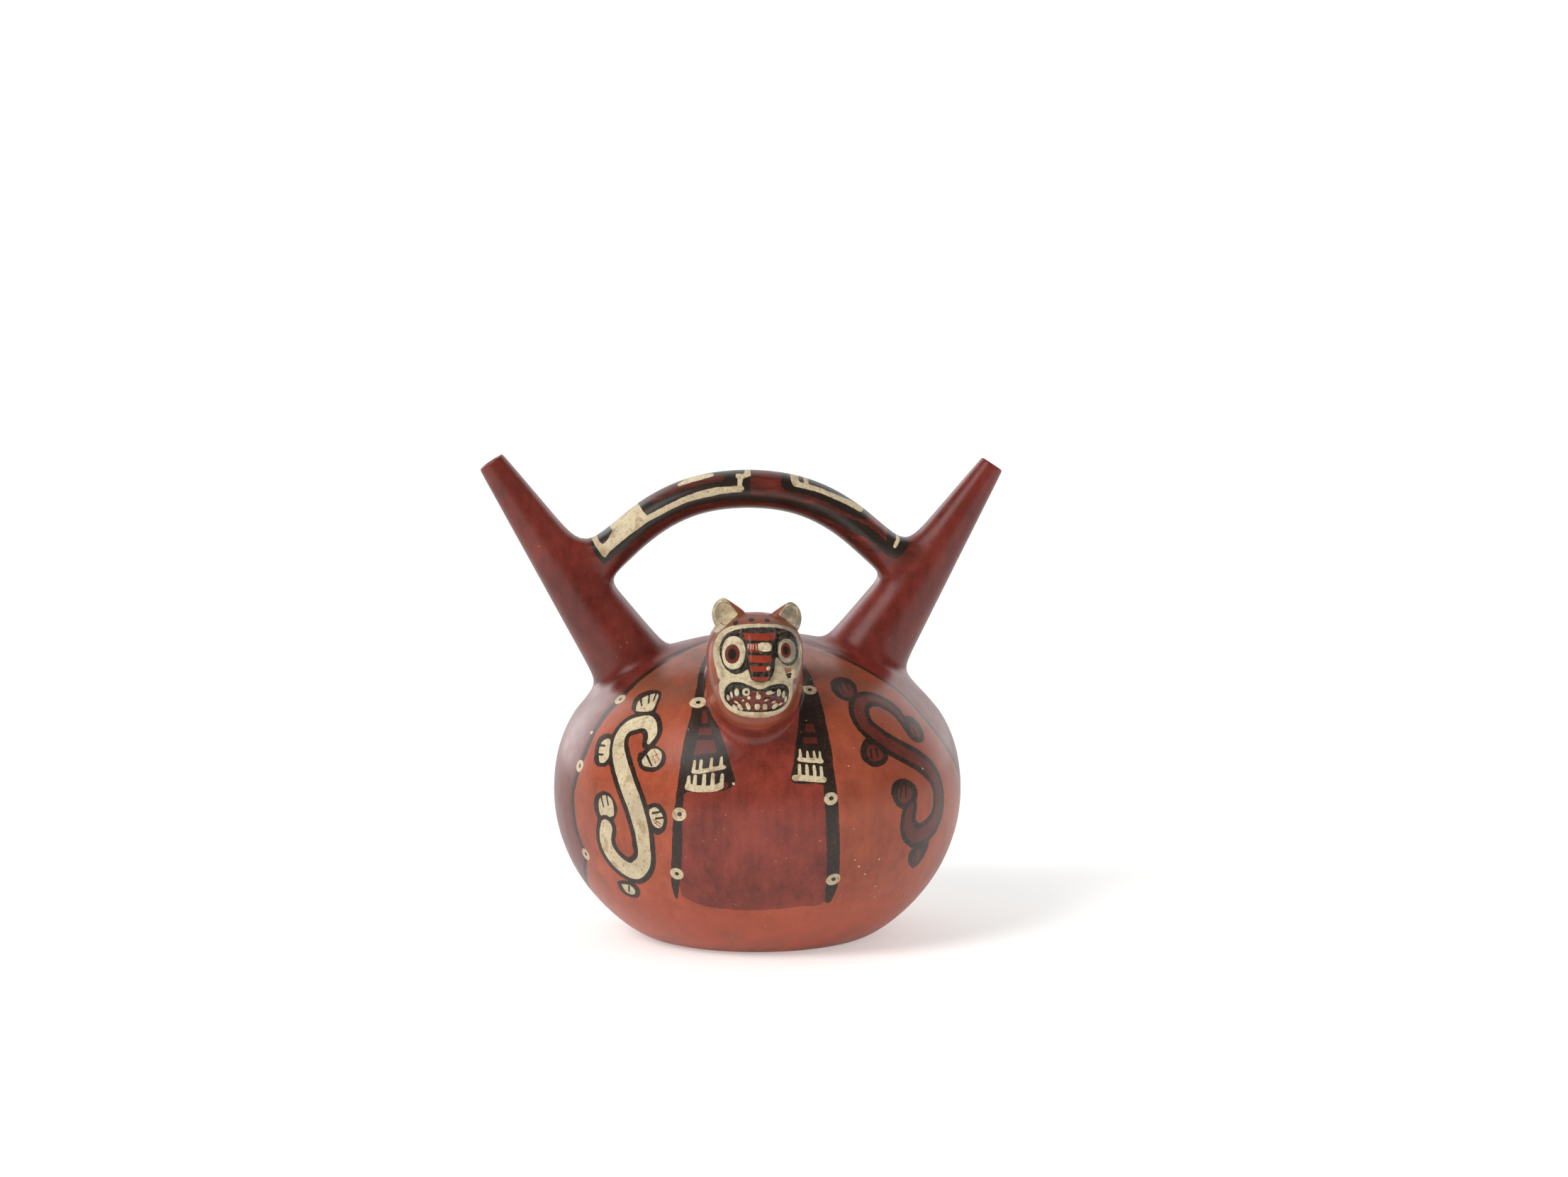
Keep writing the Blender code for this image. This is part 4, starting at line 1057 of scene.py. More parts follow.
def paint_face(flat, put):
    """The face as seen from the front."""
    irises = np.full(len(flat), -FAR)
    for x, z, wide, tall, tilt, pupil_wide, pupil_tall in IRISES:
        irises = np.maximum(irises, oval(flat, (x, z), wide, tall, tilt))
        put("ink", oval(flat, (x, z), pupil_wide, pupil_tall, tilt))
    bare = -np.maximum(irises, area(flat, closed(GUMS)))
    put("brown", -bare)
    put("cream", brush(flat, BROW_ARC))
    for name, outline in (("cream", FACE_EDGE), ("cream", closed(LIP_EDGE)), ("ink", EYE_GROUND),
                          ("ink", closed(MOUTH_EDGE))):
        put(name, np.minimum(area(flat, outline), bare))
    holes = np.max([oval(flat, hole[:2], *hole[2:]) for hole in TOOTH_HOLES], axis=0)
    for x, z, wide, tall, tilt in TEETH:
        put("white", np.minimum(oval(flat, (x, z), wide, tall, tilt, TOOTH_POWER), -holes))
    for x, z, wide, tall, tilt in EYES:
        put("white", np.minimum(oval(flat, (x, z), wide, tall, tilt, EYE_POWER), -irises))
    # Pale touches: a spot, fine hairs and the nose patch, which is partly a painted highlight.
    pale_touches_and_highlight = np.maximum(area(flat, NOSE_PATCH_AND_HIGHLIGHT), oval(flat, (4.0, 112.5), 0.75, 0.8))
    for hair in NOSE_HAIRS:
        pale_touches_and_highlight = np.maximum(pale_touches_and_highlight, stroke(flat, hair, 0.4))
    put("white", pale_touches_and_highlight)
    for bar in NOSE_BARS:
        put("red", np.minimum(area(flat, bar), -pale_touches_and_highlight))
    put("red", area(flat, RED_TOUCH))
    put("ink", area(flat, CHEEK_TOUCH))


print("teeth:", len(TEETH), "nose bars:", len(NOSE_BARS))

# %% [markdown]
# The ears are painted in their own frames, which lean outwards and turn a little to the side.
# The same frames shape the cups later. An ear's row holds its middle, in mm, and its lean.

# %% The ears' paint
EARS = [(-12.0, -64.6, 130.6, -4), (11.6, -64.6, 129.1, 4)]
EAR_HOLLOWS = [(-1.1, 0.0, 3.2, 3.9, 1.0, 0.69), (1.3, 0.7, 2.6, 3.1, 1.3, 0.58)]
EAR_REACH, EAR_DEPTH, EAR_BELOW = 11, 8, 12
CREAM_DEPTH, RIM_DEPTH, RIM_HALF, LINE_DEPTH, LINE_HALF = 0.7, 0.9, 0.25, 0.5, 0.10


def ear_frame(ear):
    """The turn of an ear's own frame: across, back and up."""
    lean, toe = math.radians(ear[3]), math.radians(-0.6 * ear[3])
    return np.array(Matrix.Rotation(lean, 3, "Y") @ Matrix.Rotation(toe, 3, "Z"))


def paint_ears(at, put, on_head):
    """Cream fronts with a dark rim and a thin dark line round the hollow."""
    for ear, (edge, rise, wide, tall, inner, slant) in zip(EARS, EAR_HOLLOWS):
        own = (at - np.array(ear[:3])) @ ear_frame(ear)
        across, back, up = own.T
        inward = across * math.copysign(1, -ear[0])
        near = on_head & (np.abs(across) < EAR_REACH) & (np.abs(back) < EAR_DEPTH)
        near &= up > -EAR_BELOW
        lower = np.minimum(0.83 * (up - edge - 0.68 * (inward - 4.6)), up + 6.3)
        lower = np.minimum(lower, 0.84 * (inner + slant * (5.0 - up) - inward))
        hollow = oval(own[:, [0, 2]], (0, rise), wide, tall)
        line = np.minimum(LINE_HALF - np.abs(hollow), LINE_DEPTH - back)
        dark_rim = RIM_HALF - np.abs(back - RIM_DEPTH)
        for name, value in (("cream", CREAM_DEPTH - back), ("ink", dark_rim), ("ink", line)):
            put(name, within(near, np.minimum(value, lower)))


print("ears stand at", [ear[:3] for ear in EARS])

# %% [markdown]
# One function answers for every colour at once. On the head, above the ridge of its chin, the
# body's painting stops and the face's begins. Spouts and bridge are maroon before the bridge's
# own pattern is laid over them.

# %% All colours for a set of points
CHIN_RIDGE = [
    (-20, 99), (-16, 96), (-13.3, 93.9), (-10.4, 91.9), (-5.3, 90.3), (0.2, 89.8), (4.9, 90.5),
    (9.1, 91.9), (12.5, 93.9), (16, 96), (20, 99),
]
CROWN_DOTS = [(-7.8, -71.0), (-2.1, -70.1), (3.6, -70.1)]
HEAD_ZONE, FACE_ZONE, FACE_DEPTH = (20, 24, 84), (56, 24, 84), 60
HEAD_STEP, FACE_OVERLAP, FACE_EXTRA = 1.8, 1, 0.6
DOT_RADIUS, DOT_SQUEEZE = 1.0, 0.8
CROWN_FROM, SPOUTS_FROM, BRIDGE_FROM = 122, 118, 135


def zone(at, forward, half_width, above):
    """Points in front of a plane, near the middle and above a height, in mm."""
    x, y, z = at.T
    return (y < -forward) & (np.abs(x) < half_width) & (z > above)


def above_body(at):
    """Rough distance in mm by which points stand out of the body."""
    x, y, z = at.T
    radius = np.hypot(x, y)
    high = np.clip((z - MM * WIDEST_HEIGHT) / (MM * UPPER_RISE), 0, None)
    reach = (radius / (MM * BODY_RADIUS)) ** 2 + high**SHOULDER_FULLNESS - 1
    slope = np.hypot(2 * radius / (MM * BODY_RADIUS) ** 2,
                     SHOULDER_FULLNESS * high ** (SHOULDER_FULLNESS - 1) / (MM * UPPER_RISE))
    return reach / np.maximum(slope, 1e-6)


def paint_all(at):
    """Every colour's distance, for points in mm."""
    layers = {name: np.full(len(at), -FAR) for name in LAYERS}

    def put(name, value):
        layers[name] = np.maximum(layers[name], value)

    x, y, z = at.T
    on_head = zone(at, *HEAD_ZONE)
    above_chin = z - np.interp(x, *np.transpose(CHIN_RIDGE))
    head = within(on_head, np.minimum(above_body(at) - HEAD_STEP, above_chin))
    paint_bands(at, put)
    paint_legs(at, put)
    paint_creature(at, put, PALE_CREATURE, PALE_PAWS, "cream")
    paint_creature(at, put, DARK_CREATURE, DARK_PAWS, "brown")
    for body in (PALE_CREATURE, DARK_CREATURE):
        paint_creature(at, put, mirrored(body), [], "brown")
    spouts = (z > SPOUTS_FROM) & ~on_head
    for name in LAYERS:
        layers[name] = np.minimum(layers[name], np.clip(-head, -FAR, FAR))
        layers[name][spouts] = FAR if name == "maroon" else -FAR
    paint_bridge(at, lambda name, value: put(name, within(z > BRIDGE_FROM, value)))
    face = zone(at, *FACE_ZONE) & (head > -FACE_OVERLAP)
    depth = np.minimum(-FACE_DEPTH - y, head + FACE_EXTRA)
    paint_face(at[:, [0, 2]],
               lambda name, value: put(name, within(face, np.minimum(value, depth))))
    for dot_x, dot_y in CROWN_DOTS:
        away = np.hypot(x - dot_x, (y - dot_y) * DOT_SQUEEZE)
        put("ink", within(face & (z > CROWN_FROM), DOT_RADIUS - away))
    paint_ears(at, put, on_head)
    return {name: np.clip(value, -FAR, FAR) for name, value in layers.items()}


trial = paint_all(wall([(-90, 80), (-45, 80)]))
print("on the front panel:", round(float(trial["panel"][0]), 1), "beside it:",
      round(float(trial["panel"][1]), 1))

# %% [markdown]
# A distance field only draws a crisp line where the skin's points are close together. Instead of
# a fine mesh everywhere, faces are cut in four where a colour's edge passes, round after round:
# smallest on the face, the claws, the rings and the paws, and coarser on the hidden back. The new
# points are then drawn onto the much finer smooth reference.

# %% Finer faces along the painted edges
FRONT_SIZE, BACK_SIZE, DETAIL_SIZE, FACE_SIZE = 0.85, 1.40, 0.47, 0.66
CUT_ROUNDS = 4
DETAIL_ZONE, FINE_ZONE, BACK_FROM = (56, 20, 88), (66, 18, 90), 4
EDGE_REACH, EDGE_MARGIN, FOOT_SKIPPED = 0.75, 0.12, 1
DETAILS = [(azimuth, height, 4.6) for azimuth, height, size in RINGS if size > EYED_SIZE]
DETAILS += [(-104.5, 73.0, 8.5), (-75.5, 76.0, 7.5), (-74.0, 86.5, 4.5), (-106.0, 87.0, 8.0)]
DETAILS += [tuple(np.mean(pad, axis=0)) + (7.0,) for pad, sole, gaps in PALE_PAWS + DARK_PAWS]


def nearest_edge(at):
    """Distance in mm from each point to the closest edge of any colour."""
    return np.min([np.abs(value) for value in paint_all(at).values()], axis=0)


def largest_size(at):
    """How large a face at a painted edge may be, in mm."""
    size = np.where(at[:, 1] > BACK_FROM, BACK_SIZE, FRONT_SIZE)
    size[zone(at, *DETAIL_ZONE)] = DETAIL_SIZE
    for azimuth, height, radius in DETAILS:
        size[np.linalg.norm(at - wall([(azimuth, height)])[0], axis=1) < radius] = DETAIL_SIZE
    return size


def cut_near_edges():
    """Cuts each face near an edge that is still too large. Returns how many were cut."""
    mesh = vessel.data
    count = len(mesh.polygons)
    middle, size = np.empty(3 * count), np.empty(count)
    mesh.polygons.foreach_get("center", middle)
    mesh.polygons.foreach_get("area", size)
    middle, size = middle.reshape(-1, 3) * MM, np.sqrt(size) * MM
    at_edge = nearest_edge(middle) < EDGE_REACH * size + EDGE_MARGIN
    wanted = (size > largest_size(middle)) & at_edge
    wanted |= zone(middle, *FINE_ZONE) & (size > FACE_SIZE)
    wanted &= middle[:, 2] > FOOT_SKIPPED
    start_edit(vessel, "FACE")
    end_edit()
    vessel.data.polygons.foreach_set("select", wanted)
    bpy.ops.object.mode_set(mode="EDIT")
    bpy.ops.mesh.subdivide(number_cuts=1, ngon=False, quadcorner="INNERVERT")
    end_edit()
    return int(wanted.sum())


def triangle_count(piece):
    """How many triangles the piece's faces make."""
    return sum(len(face.vertices) - 2 for face in piece.data.polygons)


for step in range(CUT_ROUNDS):
    cut = cut_near_edges()
    print("round", step + 1, "cut", cut, "faces; now", len(vessel.data.polygons))
wrap = vessel.modifiers.new("onto_reference", "SHRINKWRAP")
wrap.target = reference
wrap.wrap_method = "NEAREST_SURFACEPOINT"
take_modifier(vessel, "onto_reference")
bpy.data.objects.remove(reference)
print("skin:", triangle_count(vessel), "triangles")

# %% [markdown]
# The modelled face is low: a ridge of a nose that stands out most at its tip, slightly domed
# eyes, a swollen muzzle, rounded lips and a mouth that is pressed in. A potter would have pinched
# and pressed it, so here each point of the face is moved forwards by the sum of those forms.

# %% The face's relief
NOSE_TIP, NOSE_LENGTH = 108.7, 17.3
NOSE_RISE, NOSE_TAPER = 5.6, 3.3
NOSE_MIDDLE, NOSE_HALF, NOSE_FLARE = 0.85, 3.6, 2.3
NOSE_START, NOSE_END = (107.2, 109.4), (124.2, 128.0)
MUZZLE = (-0.6, 101.2, 15.6, 11.0)
MUZZLE_RISE = 3.1
LIP_RISE, MOUTH_DEPTH, TOOTH_RISE = 0.95, 1.5, 0.55
EYE_RISE, LID_RISE, SOCKET_DEPTH, BROW_RISE = 0.9, 0.25, 0.45, 0.55
RELIEF_ZONE, RELIEF_FROM, RELIEF_FULL = (58, 20, 86), 69.5, 75.5


def soft_step(value, low_end, high_end):
    """0 below, 1 above, with a smooth rise between."""
    share = np.clip((value - low_end) / (high_end - low_end), 0, 1)
    return share * share * (3 - 2 * share)


def hump(value, centre, width):
    """1 at a value, falling off to 0 on both sides."""
    return np.exp(-((value - centre) / width) ** 2)


def face_relief(flat):
    """How far the face stands forwards, in mm."""
    x, z = flat.T
    share = np.clip((z - NOSE_TIP) / NOSE_LENGTH, 0, 1)
    nose = soft_step(NOSE_HALF + NOSE_FLARE * share - np.abs(x - NOSE_MIDDLE), -0.7, 1.1)
    nose *= soft_step(z, *NOSE_START) * (1 - soft_step(z, *NOSE_END))
    height = nose * (NOSE_RISE - NOSE_TAPER * share**0.8)
    middle_x, middle_z, half_wide, half_tall = MUZZLE
    muzzle = 1 - ((x - middle_x) / half_wide) ** 2 - ((z - middle_z) / half_tall) ** 2
    height += MUZZLE_RISE * np.sqrt(np.clip(muzzle, 0, 1)) * (1 - 0.75 * nose)
    mouth = area(flat, closed(MOUTH_EDGE))
    height += LIP_RISE * hump(-mouth, 0.9, 0.95)
    height -= MOUTH_DEPTH * soft_step(mouth, 0.0, 1.6)
    for tooth_x, tooth_z, wide, tall, tilt in TEETH:
        tooth = oval(flat, (tooth_x, tooth_z), wide, tall, tilt, TOOTH_POWER)
        height += TOOTH_RISE * soft_step(tooth, -0.5, 0.5)
    for eye_x, eye_z, wide, tall, tilt in EYES:
        dome = oval(flat, (eye_x, eye_z), wide, tall, tilt, EYE_POWER)
        height += EYE_RISE * soft_step(dome, -0.6, 2.0) + LID_RISE * hump(dome, 0.3, 0.5)
        height -= SOCKET_DEPTH * hump(dome, -1.1, 0.7)
    height += BROW_RISE * soft_step(brush(flat, BROW_ARC, extra=0.6), -0.9, 0.9)
    return height


def points_of(piece):
    """The points of a piece, in mm."""
    at = np.empty(3 * len(piece.data.vertices))
    piece.data.vertices.foreach_get("co", at)
    return at.reshape(-1, 3) * MM


at = points_of(vessel)
front = zone(at, *RELIEF_ZONE)
hold = soft_step(-at[front, 1], RELIEF_FROM, RELIEF_FULL)
at[front, 1] -= face_relief(at[front][:, [0, 2]]) * hold
vessel.data.vertices.foreach_set("co", (at / MM).ravel())
vessel.data.update()
print("face points moved:", int(front.sum()), "foremost y:", round(float(at[:, 1].min()), 1), "mm")

# %% [markdown]
# The ears are two small cups. Each is a ball turned so that its pole looks forwards, flattened,
# narrowed upwards and pressed in at the front. They are joined to the head for good, and the
# join is smoothed over, as wet clay is with a fingertip.

# %% The ears
EAR_OUTER, EAR_INNER = 4.5, 7.2
EAR_RISE, EAR_DROP = 5.4, 7.0
EAR_THICKNESS = 2.5
RIM_WIDTH = 0.3
JOIN_LOW, JOIN_HIGH, JOIN_FRONT, JOIN_INNER = 0.120, 0.134, -0.055, 0.003
CREASE_ANGLE, CREASE_REACH = 0.5, 0.0010
EARS_ABOVE, EARS_FRONT = 0.118, -0.05


def ear_shape(ball, ear, hollow):
    """A unit ball's points as a cup, in the ear's own frame, in mm."""
    x, y, z = ball.T
    _, rise, wide, tall, _, _ = hollow
    inner_side = EAR_INNER * (1 - np.where(z > 0, 0.66, 0.60) * z)
    inward = x * math.copysign(1, -ear[0])
    across = x * np.where(inward < 0, EAR_OUTER * (1 - 0.10 * z), inner_side)
    up = np.where(z > 0, z * EAR_RISE, z * EAR_DROP)
    rim = np.hypot(across / (wide + RIM_WIDTH), (up - rise) / (tall + RIM_WIDTH))
    back = y * EAR_THICKNESS + np.where(y < 0, EAR_THICKNESS * np.clip(1 - rim**2, 0, 1), 0)
    return np.stack([across, back, up], 1)


for ear, hollow in zip(EARS, EAR_HOLLOWS):
    bpy.ops.mesh.primitive_uv_sphere_add(segments=56, ring_count=38, radius=1,
                                         rotation=(math.pi / 2, 0, 0))
    bpy.ops.object.transform_apply(location=False, rotation=True, scale=False)
    cup = bpy.context.object
    own = ear_shape(points_of(cup) / MM, ear, hollow)
    placed = own @ ear_frame(ear).T + np.array(ear[:3])
    cup.data.vertices.foreach_set("co", (placed / MM).ravel())
    join = vessel.modifiers.new("ear", "BOOLEAN")
    join.operation = "UNION"
    join.solver = "EXACT"
    join.object = cup
    take_modifier(vessel, "ear")
    bpy.data.objects.remove(cup)


def at_an_ear(edge):
    """Whether a sharp edge lies where an ear meets the head."""
    x, y, z = edge.verts[0].co
    placed = JOIN_LOW < z < JOIN_HIGH and y < JOIN_FRONT and abs(x) > JOIN_INNER
    return placed and len(edge.link_faces) == 2 and edge.calc_face_angle() > CREASE_ANGLE


mesh = start_edit(vessel)
creases = [edge for edge in mesh.edges if at_an_ear(edge)]
marks = np.array([v.co for edge in creases for v in edge.verts])
for vert in mesh.verts:
    if vert.co.z > EARS_ABOVE and vert.co.y < EARS_FRONT:
        away = np.linalg.norm(marks - np.array(vert.co), axis=1)
        vert.select = bool((away < CREASE_REACH).any())
mesh.select_flush(True)
bpy.ops.mesh.vertices_smooth(factor=0.5, repeat=8)
end_edit()
only(vessel)
bpy.ops.object.shade_smooth()
print("with ears:", triangle_count(vessel), "triangles;", len(creases), "crease edges smoothed")

# %% [markdown]
# The skin is finished, so the distances can be stored on it: one number for each colour at each
# point. The share of points printed here says how much of the mesh a colour takes up.

# %% The painted distances on the skin
layers = paint_all(points_of(vessel))
for name in LAYERS:
    attribute = vessel.data.attributes.new("slip_" + name, "FLOAT", "POINT")
    attribute.data.foreach_set("value", layers[name].astype(np.float32))
    print(name, "covers", round(100 * float((layers[name] > 0).mean()), 1), "% of the points")

# %% [markdown]
# The finish is burnished slip: thin coloured clay, rubbed with a pebble until it shines softly.
# Its material is built from a few kinds of node. These helpers take sockets or plain numbers, and
# find the tree to work in from the socket they are given.

# %% Helpers for nodes
KINDS = {"Colour": "NodeSocketColor", "Place": "NodeSocketVector"}
# Some tints are painted light: a painted bounce of light from the floor near the foot, painted shade
# on the head and on the body's right side, and grime mixed with painted shade on the cheeks.
TINTS = {
    "painted floor bounce": (0.50, 0.070, 0.022, 1), "painted shade": (0.235, 0.052, 0.026, 1),
    "wipe": (0.045, 0.017, 0.012, 1), "smoke": (0.115, 0.062, 0.034, 1),
    "freckle": (0.26, 0.135, 0.058, 1), "grime and shade": (0.20, 0.165, 0.120, 1),
    "pit": (0.48, 0.34, 0.20, 1), "grain": (0.42, 0.25, 0.14, 1),
}


def feed(socket, value):
    """Links a socket to an input, or sets the input to a plain value."""
    if isinstance(value, bpy.types.NodeSocket):
        socket.id_data.links.new(value, socket)
    else:
        socket.default_value = value


def add(tree, kind, **inputs):
    """Adds a shader node and feeds its inputs. An underscore stands for a space."""
    node = tree.nodes.new("ShaderNode" + kind)
    for name, value in inputs.items():
        feed(node.inputs[name.replace("_", " ")], value)
    return node


def split(place):
    """The X, Y and Z of a place."""
    parts = place.id_data.nodes.new("ShaderNodeSeparateXYZ")
    feed(parts.inputs[0], place)
    return parts.outputs


def noise(place, scale, detail=2.0, roughness=0.5, stretch=None):
    """A noise at a scale per metre, stretched where needed."""
    tree = place.id_data
    if stretch:
        place = add(tree, "Mapping", Scale=stretch, Vector=place).outputs["Vector"]
    made = add(tree, "TexNoise", Scale=scale, Detail=detail, Roughness=roughness, Vector=place)
    return made.outputs["Fac"]


def maths(operation, *values):
    """A maths node on sockets or numbers."""
    tree = next(value.id_data for value in values if isinstance(value, bpy.types.NodeSocket))
    made = tree.nodes.new("ShaderNodeMath")
    made.operation = operation
    for socket, value in zip(made.inputs, values):
        feed(socket, value)
    return made.outputs[0]


def times(first, second):
    """A product."""
    return maths("MULTIPLY", first, second)


def times_plus(first, second, third):
    """A product and then a sum."""
    return maths("MULTIPLY_ADD", first, second, third)


def larger(first, second):
    """The larger of two."""
    return maths("MAXIMUM", first, second)


def less(first, second):
    """A difference."""
    return maths("SUBTRACT", first, second)


def ramp(value, start, end, smooth=True):
    """0 to 1 as the value goes from start to end."""
    made = add(value.id_data, "MapRange", From_Min=start, From_Max=end, Value=value)
    made.interpolation_type = "SMOOTHSTEP" if smooth else "LINEAR"
    return made.outputs["Result"]


def blend(share, first, second, mode="MIX"):
    """Mixes two colours by a share."""
    made = share.id_data.nodes.new("ShaderNodeMix")
    made.data_type = "RGBA"
    made.blend_type = mode
    for number, value in ((0, share), (6, first), (7, second)):
        feed(made.inputs[number], value)
    return made.outputs[2]


def tint(colour, mask, amount, name):
    """Lays a tint over a colour where a mask says so."""
    return blend(times(mask, amount), colour, TINTS[name])


def new_group(name, inputs, outputs):
    """A shader group. Returns it with the sockets it is given and those it has to fill."""
    group = bpy.data.node_groups.new(name, "ShaderNodeTree")
    for way, sockets in (("INPUT", inputs), ("OUTPUT", outputs)):
        for socket in sockets:
            kind = KINDS.get(socket, "NodeSocketFloat")
            group.interface.new_socket(name=socket, in_out=way, socket_type=kind)
    given = group.nodes.new("NodeGroupInput").outputs
    return group, given, group.nodes.new("NodeGroupOutput").inputs


def use_group(group, place, **values):
    """Places a group with its inputs in the tree of a place. Returns its outputs."""
    node = place.id_data.nodes.new("ShaderNodeGroup")
    node.node_tree = group
    for name, value in {"Place": place, **values}.items():
        feed(node.inputs[name], value)
    return node.outputs


print("kinds of group socket:", sorted(set(KINDS.values())), "and plain numbers")

# %% [markdown]
# Two effects are shared by all the colours, so each is a node group: the brush's wandering edge,
# and the cloudy unevenness with its rubbing streaks.

# %% The brush's edge and the clouds
CLOUD_DARK, CLOUD_LIGHT = (0.34, 0.33, 0.36, 1), (1.35, 1.45, 1.45, 1)


def brush_edge():
    """Turns a distance in mm into paint cover, with an edge that wanders as a brush does."""
    group, given, result = new_group(
        "brush_edge", ("Distance", "Place", "Wander", "Softness"), ("Cover",))
    slow = less(noise(given["Place"], 450, 1), 0.5)
    fast = less(noise(given["Place"], 2600, 2), 0.5)
    moved = times_plus(times_plus(fast, 0.6, slow), given["Wander"], given["Distance"])
    feed(result["Cover"], ramp(maths("DIVIDE", moved, given["Softness"]), -0.5, 0.5))
    return group


def cloudy_slip():
    """Unevenness of a brushed and rubbed colour: clouds, blotches, faint wipes and fine grain."""
    group, given, result = new_group(
        "cloudy_slip", ("Colour", "Place", "Strength"), ("Colour", "Blotches"))
    place, colour, strength = given["Place"], given["Colour"], given["Strength"]
    blotches = noise(place, 150, 4, 0.62)
    total = times_plus(blotches, 0.55, noise(place, 42, 4, 0.6))
    total = times_plus(noise(place, 330, 3, 0.6, (1.0, 1.0, 0.12)), 0.55, total)
    total = times_plus(noise(place, 1500, 3, 0.7), 0.50, total)
    dark = blend(strength, colour, CLOUD_DARK, "MULTIPLY")
    light = blend(strength, colour, CLOUD_LIGHT, "MULTIPLY")
    feed(result["Colour"], blend(ramp(total, 1.06, 1.54, smooth=False), dark, light))
    feed(result["Blotches"], blotches)
    return group


EDGE, CLOUDS = brush_edge(), cloudy_slip()
print("nodes in each group:", {group.name: len(group.nodes) for group in (EDGE, CLOUDS)})

# %% [markdown]
# The marks of age are groups too: pits, smoke and smudges, wipes along the bridge, and dull
# cheeks that are partly grime and partly painted shade. Each gives a mask from 0 to 1. The places
# in them are in metres.

# %% The marks of age
def fine_pits():
    """Tiny pits and pale grains where grit has fallen out of the burnished face."""
    group, given, result = new_group("fine_pits", ("Place",), ("Pits", "Grains"))
    cells = add(group, "TexVoronoi", Scale=520, Vector=given["Place"])
    chosen = ramp(noise(given["Place"], 150, 3, 0.7), 0.60, 0.72)
    dots = less(1.0, ramp(cells.outputs["Distance"], 0.10, 0.26))
    feed(result["Pits"], times(dots, chosen))
    feed(result["Grains"], ramp(noise(given["Place"], 2300, 2, 0.6), 0.66, 0.76))
    return group


def old_smudges():
    """Where smoke and hands have darkened the clay: the shoulder round the head and the foot."""
    group, given, result = new_group("old_smudges", ("Place",), ("Smudge",))
    up = split(given["Place"])["Z"]
    shoulder = ramp(up, 0.082, 0.106)
    foot = times(ramp(up, 0.026, 0.004), 0.5)
    patches = ramp(noise(given["Place"], 75, 5, 0.68), 0.40, 0.62)
    feed(result["Smudge"], times(larger(shoulder, foot), patches))
    return group


def bridge_wipes():
    """Dark wipes that run along the bridge, where the vessel was held."""
    group, given, result = new_group("bridge_wipes", ("Place",), ("Wipe",))
    parts = split(given["Place"])
    span = ramp(maths("ABSOLUTE", parts["X"]), 0.068, 0.056)
    span = times(span, ramp(parts["Z"], 0.138, 0.150))
    wipes = ramp(noise(given["Place"], 560, 4, 0.65, (0.10, 1.0, 1.0)), 0.38, 0.60)
    feed(result["Wipe"], times(span, wipes))
    return group


def cheek_grime_and_shade():
    """Dull patches on the cheeks, partly grime and partly painted shade towards the face's sides,
    stronger on the right-hand side.
    """
    group, given, result = new_group("cheek_grime_and_shade", ("Place",), ("Grime and shade",))
    parts = split(given["Place"])
    round_eye = times_plus(ramp(parts["Z"], 0.1105, 0.1135), 0.9, 0.45)
    right = times(ramp(parts["X"], 0.003, 0.010), round_eye)
    left = times(ramp(parts["X"], -0.008, -0.018), 0.7)
    face = times(ramp(parts["Y"], -0.056, -0.064), ramp(parts["Z"], 0.086, 0.094))
    patches = ramp(noise(given["Place"], 260, 4, 0.68), 0.30, 0.56)
    feed(result["Grime and shade"], times(times(larger(left, right), face), patches))
    return group


PITS, SMUDGES, WIPES, GRIME_AND_SHADE = fine_pits(), old_smudges(), bridge_wipes(), cheek_grime_and_shade()
marks_of_age_and_shade = (PITS, SMUDGES, WIPES, GRIME_AND_SHADE)
print("nodes in each group:", {group.name: len(group.nodes) for group in marks_of_age_and_shade})

# %% [markdown]
# The colours lie in the order in which the painter laid them: the orange ground, maroon and dark
# red fields, black lines, the dark red and cream figures, and the small dark, pale and red
# touches last. A coat's row says how far its edge wanders and how soft it is, in mm, how cloudy
# the coat is and how much of it is worn off.

# %% The coats of slip
SLIPS = {
    "orange": (0.385, 0.076, 0.032, 1), "maroon": (0.165, 0.023, 0.015, 1),
    "panel": (0.225, 0.034, 0.020, 1), "black": (0.023, 0.016, 0.011, 1),
    "brown": (0.135, 0.024, 0.015, 1), "cream": (0.64, 0.52, 0.33, 1),
    "ink": (0.018, 0.012, 0.009, 1), "white": (0.68, 0.57, 0.38, 1),
    "red": (0.30, 0.035, 0.016, 1),
}
COATS = (
    ("maroon", 0.55, 0.30, 0.60, 0.0), ("panel", 0.55, 0.35, 0.70, 0.0),
    ("black", 0.55, 0.30, 0.40, 0.15), ("brown", 0.50, 0.30, 0.50, 0.15),
    ("cream", 0.42, 0.22, 0.36, 0.0), ("ink", 0.34, 0.20, 0.30, 0.12),
    ("white", 0.26, 0.18, 0.30, 0.0), ("red", 0.26, 0.20, 0.55, 0.10),
)
slip = bpy.data.materials.new("burnished_slip_painted")
slip.use_nodes = True
tree = slip.node_tree
shader = tree.nodes["Principled BSDF"]
place = tree.nodes.new("ShaderNodeTexCoord").outputs["Object"]
parts = split(place)
ground = use_group(CLOUDS, place, Colour=SLIPS["orange"], Strength=0.46)
# Painted light: the orange turns lighter and redder towards the foot, as if lit from the floor.
colour = tint(ground["Colour"], ramp(parts["Z"], 0.032, 0.004), 0.65, "painted floor bounce")
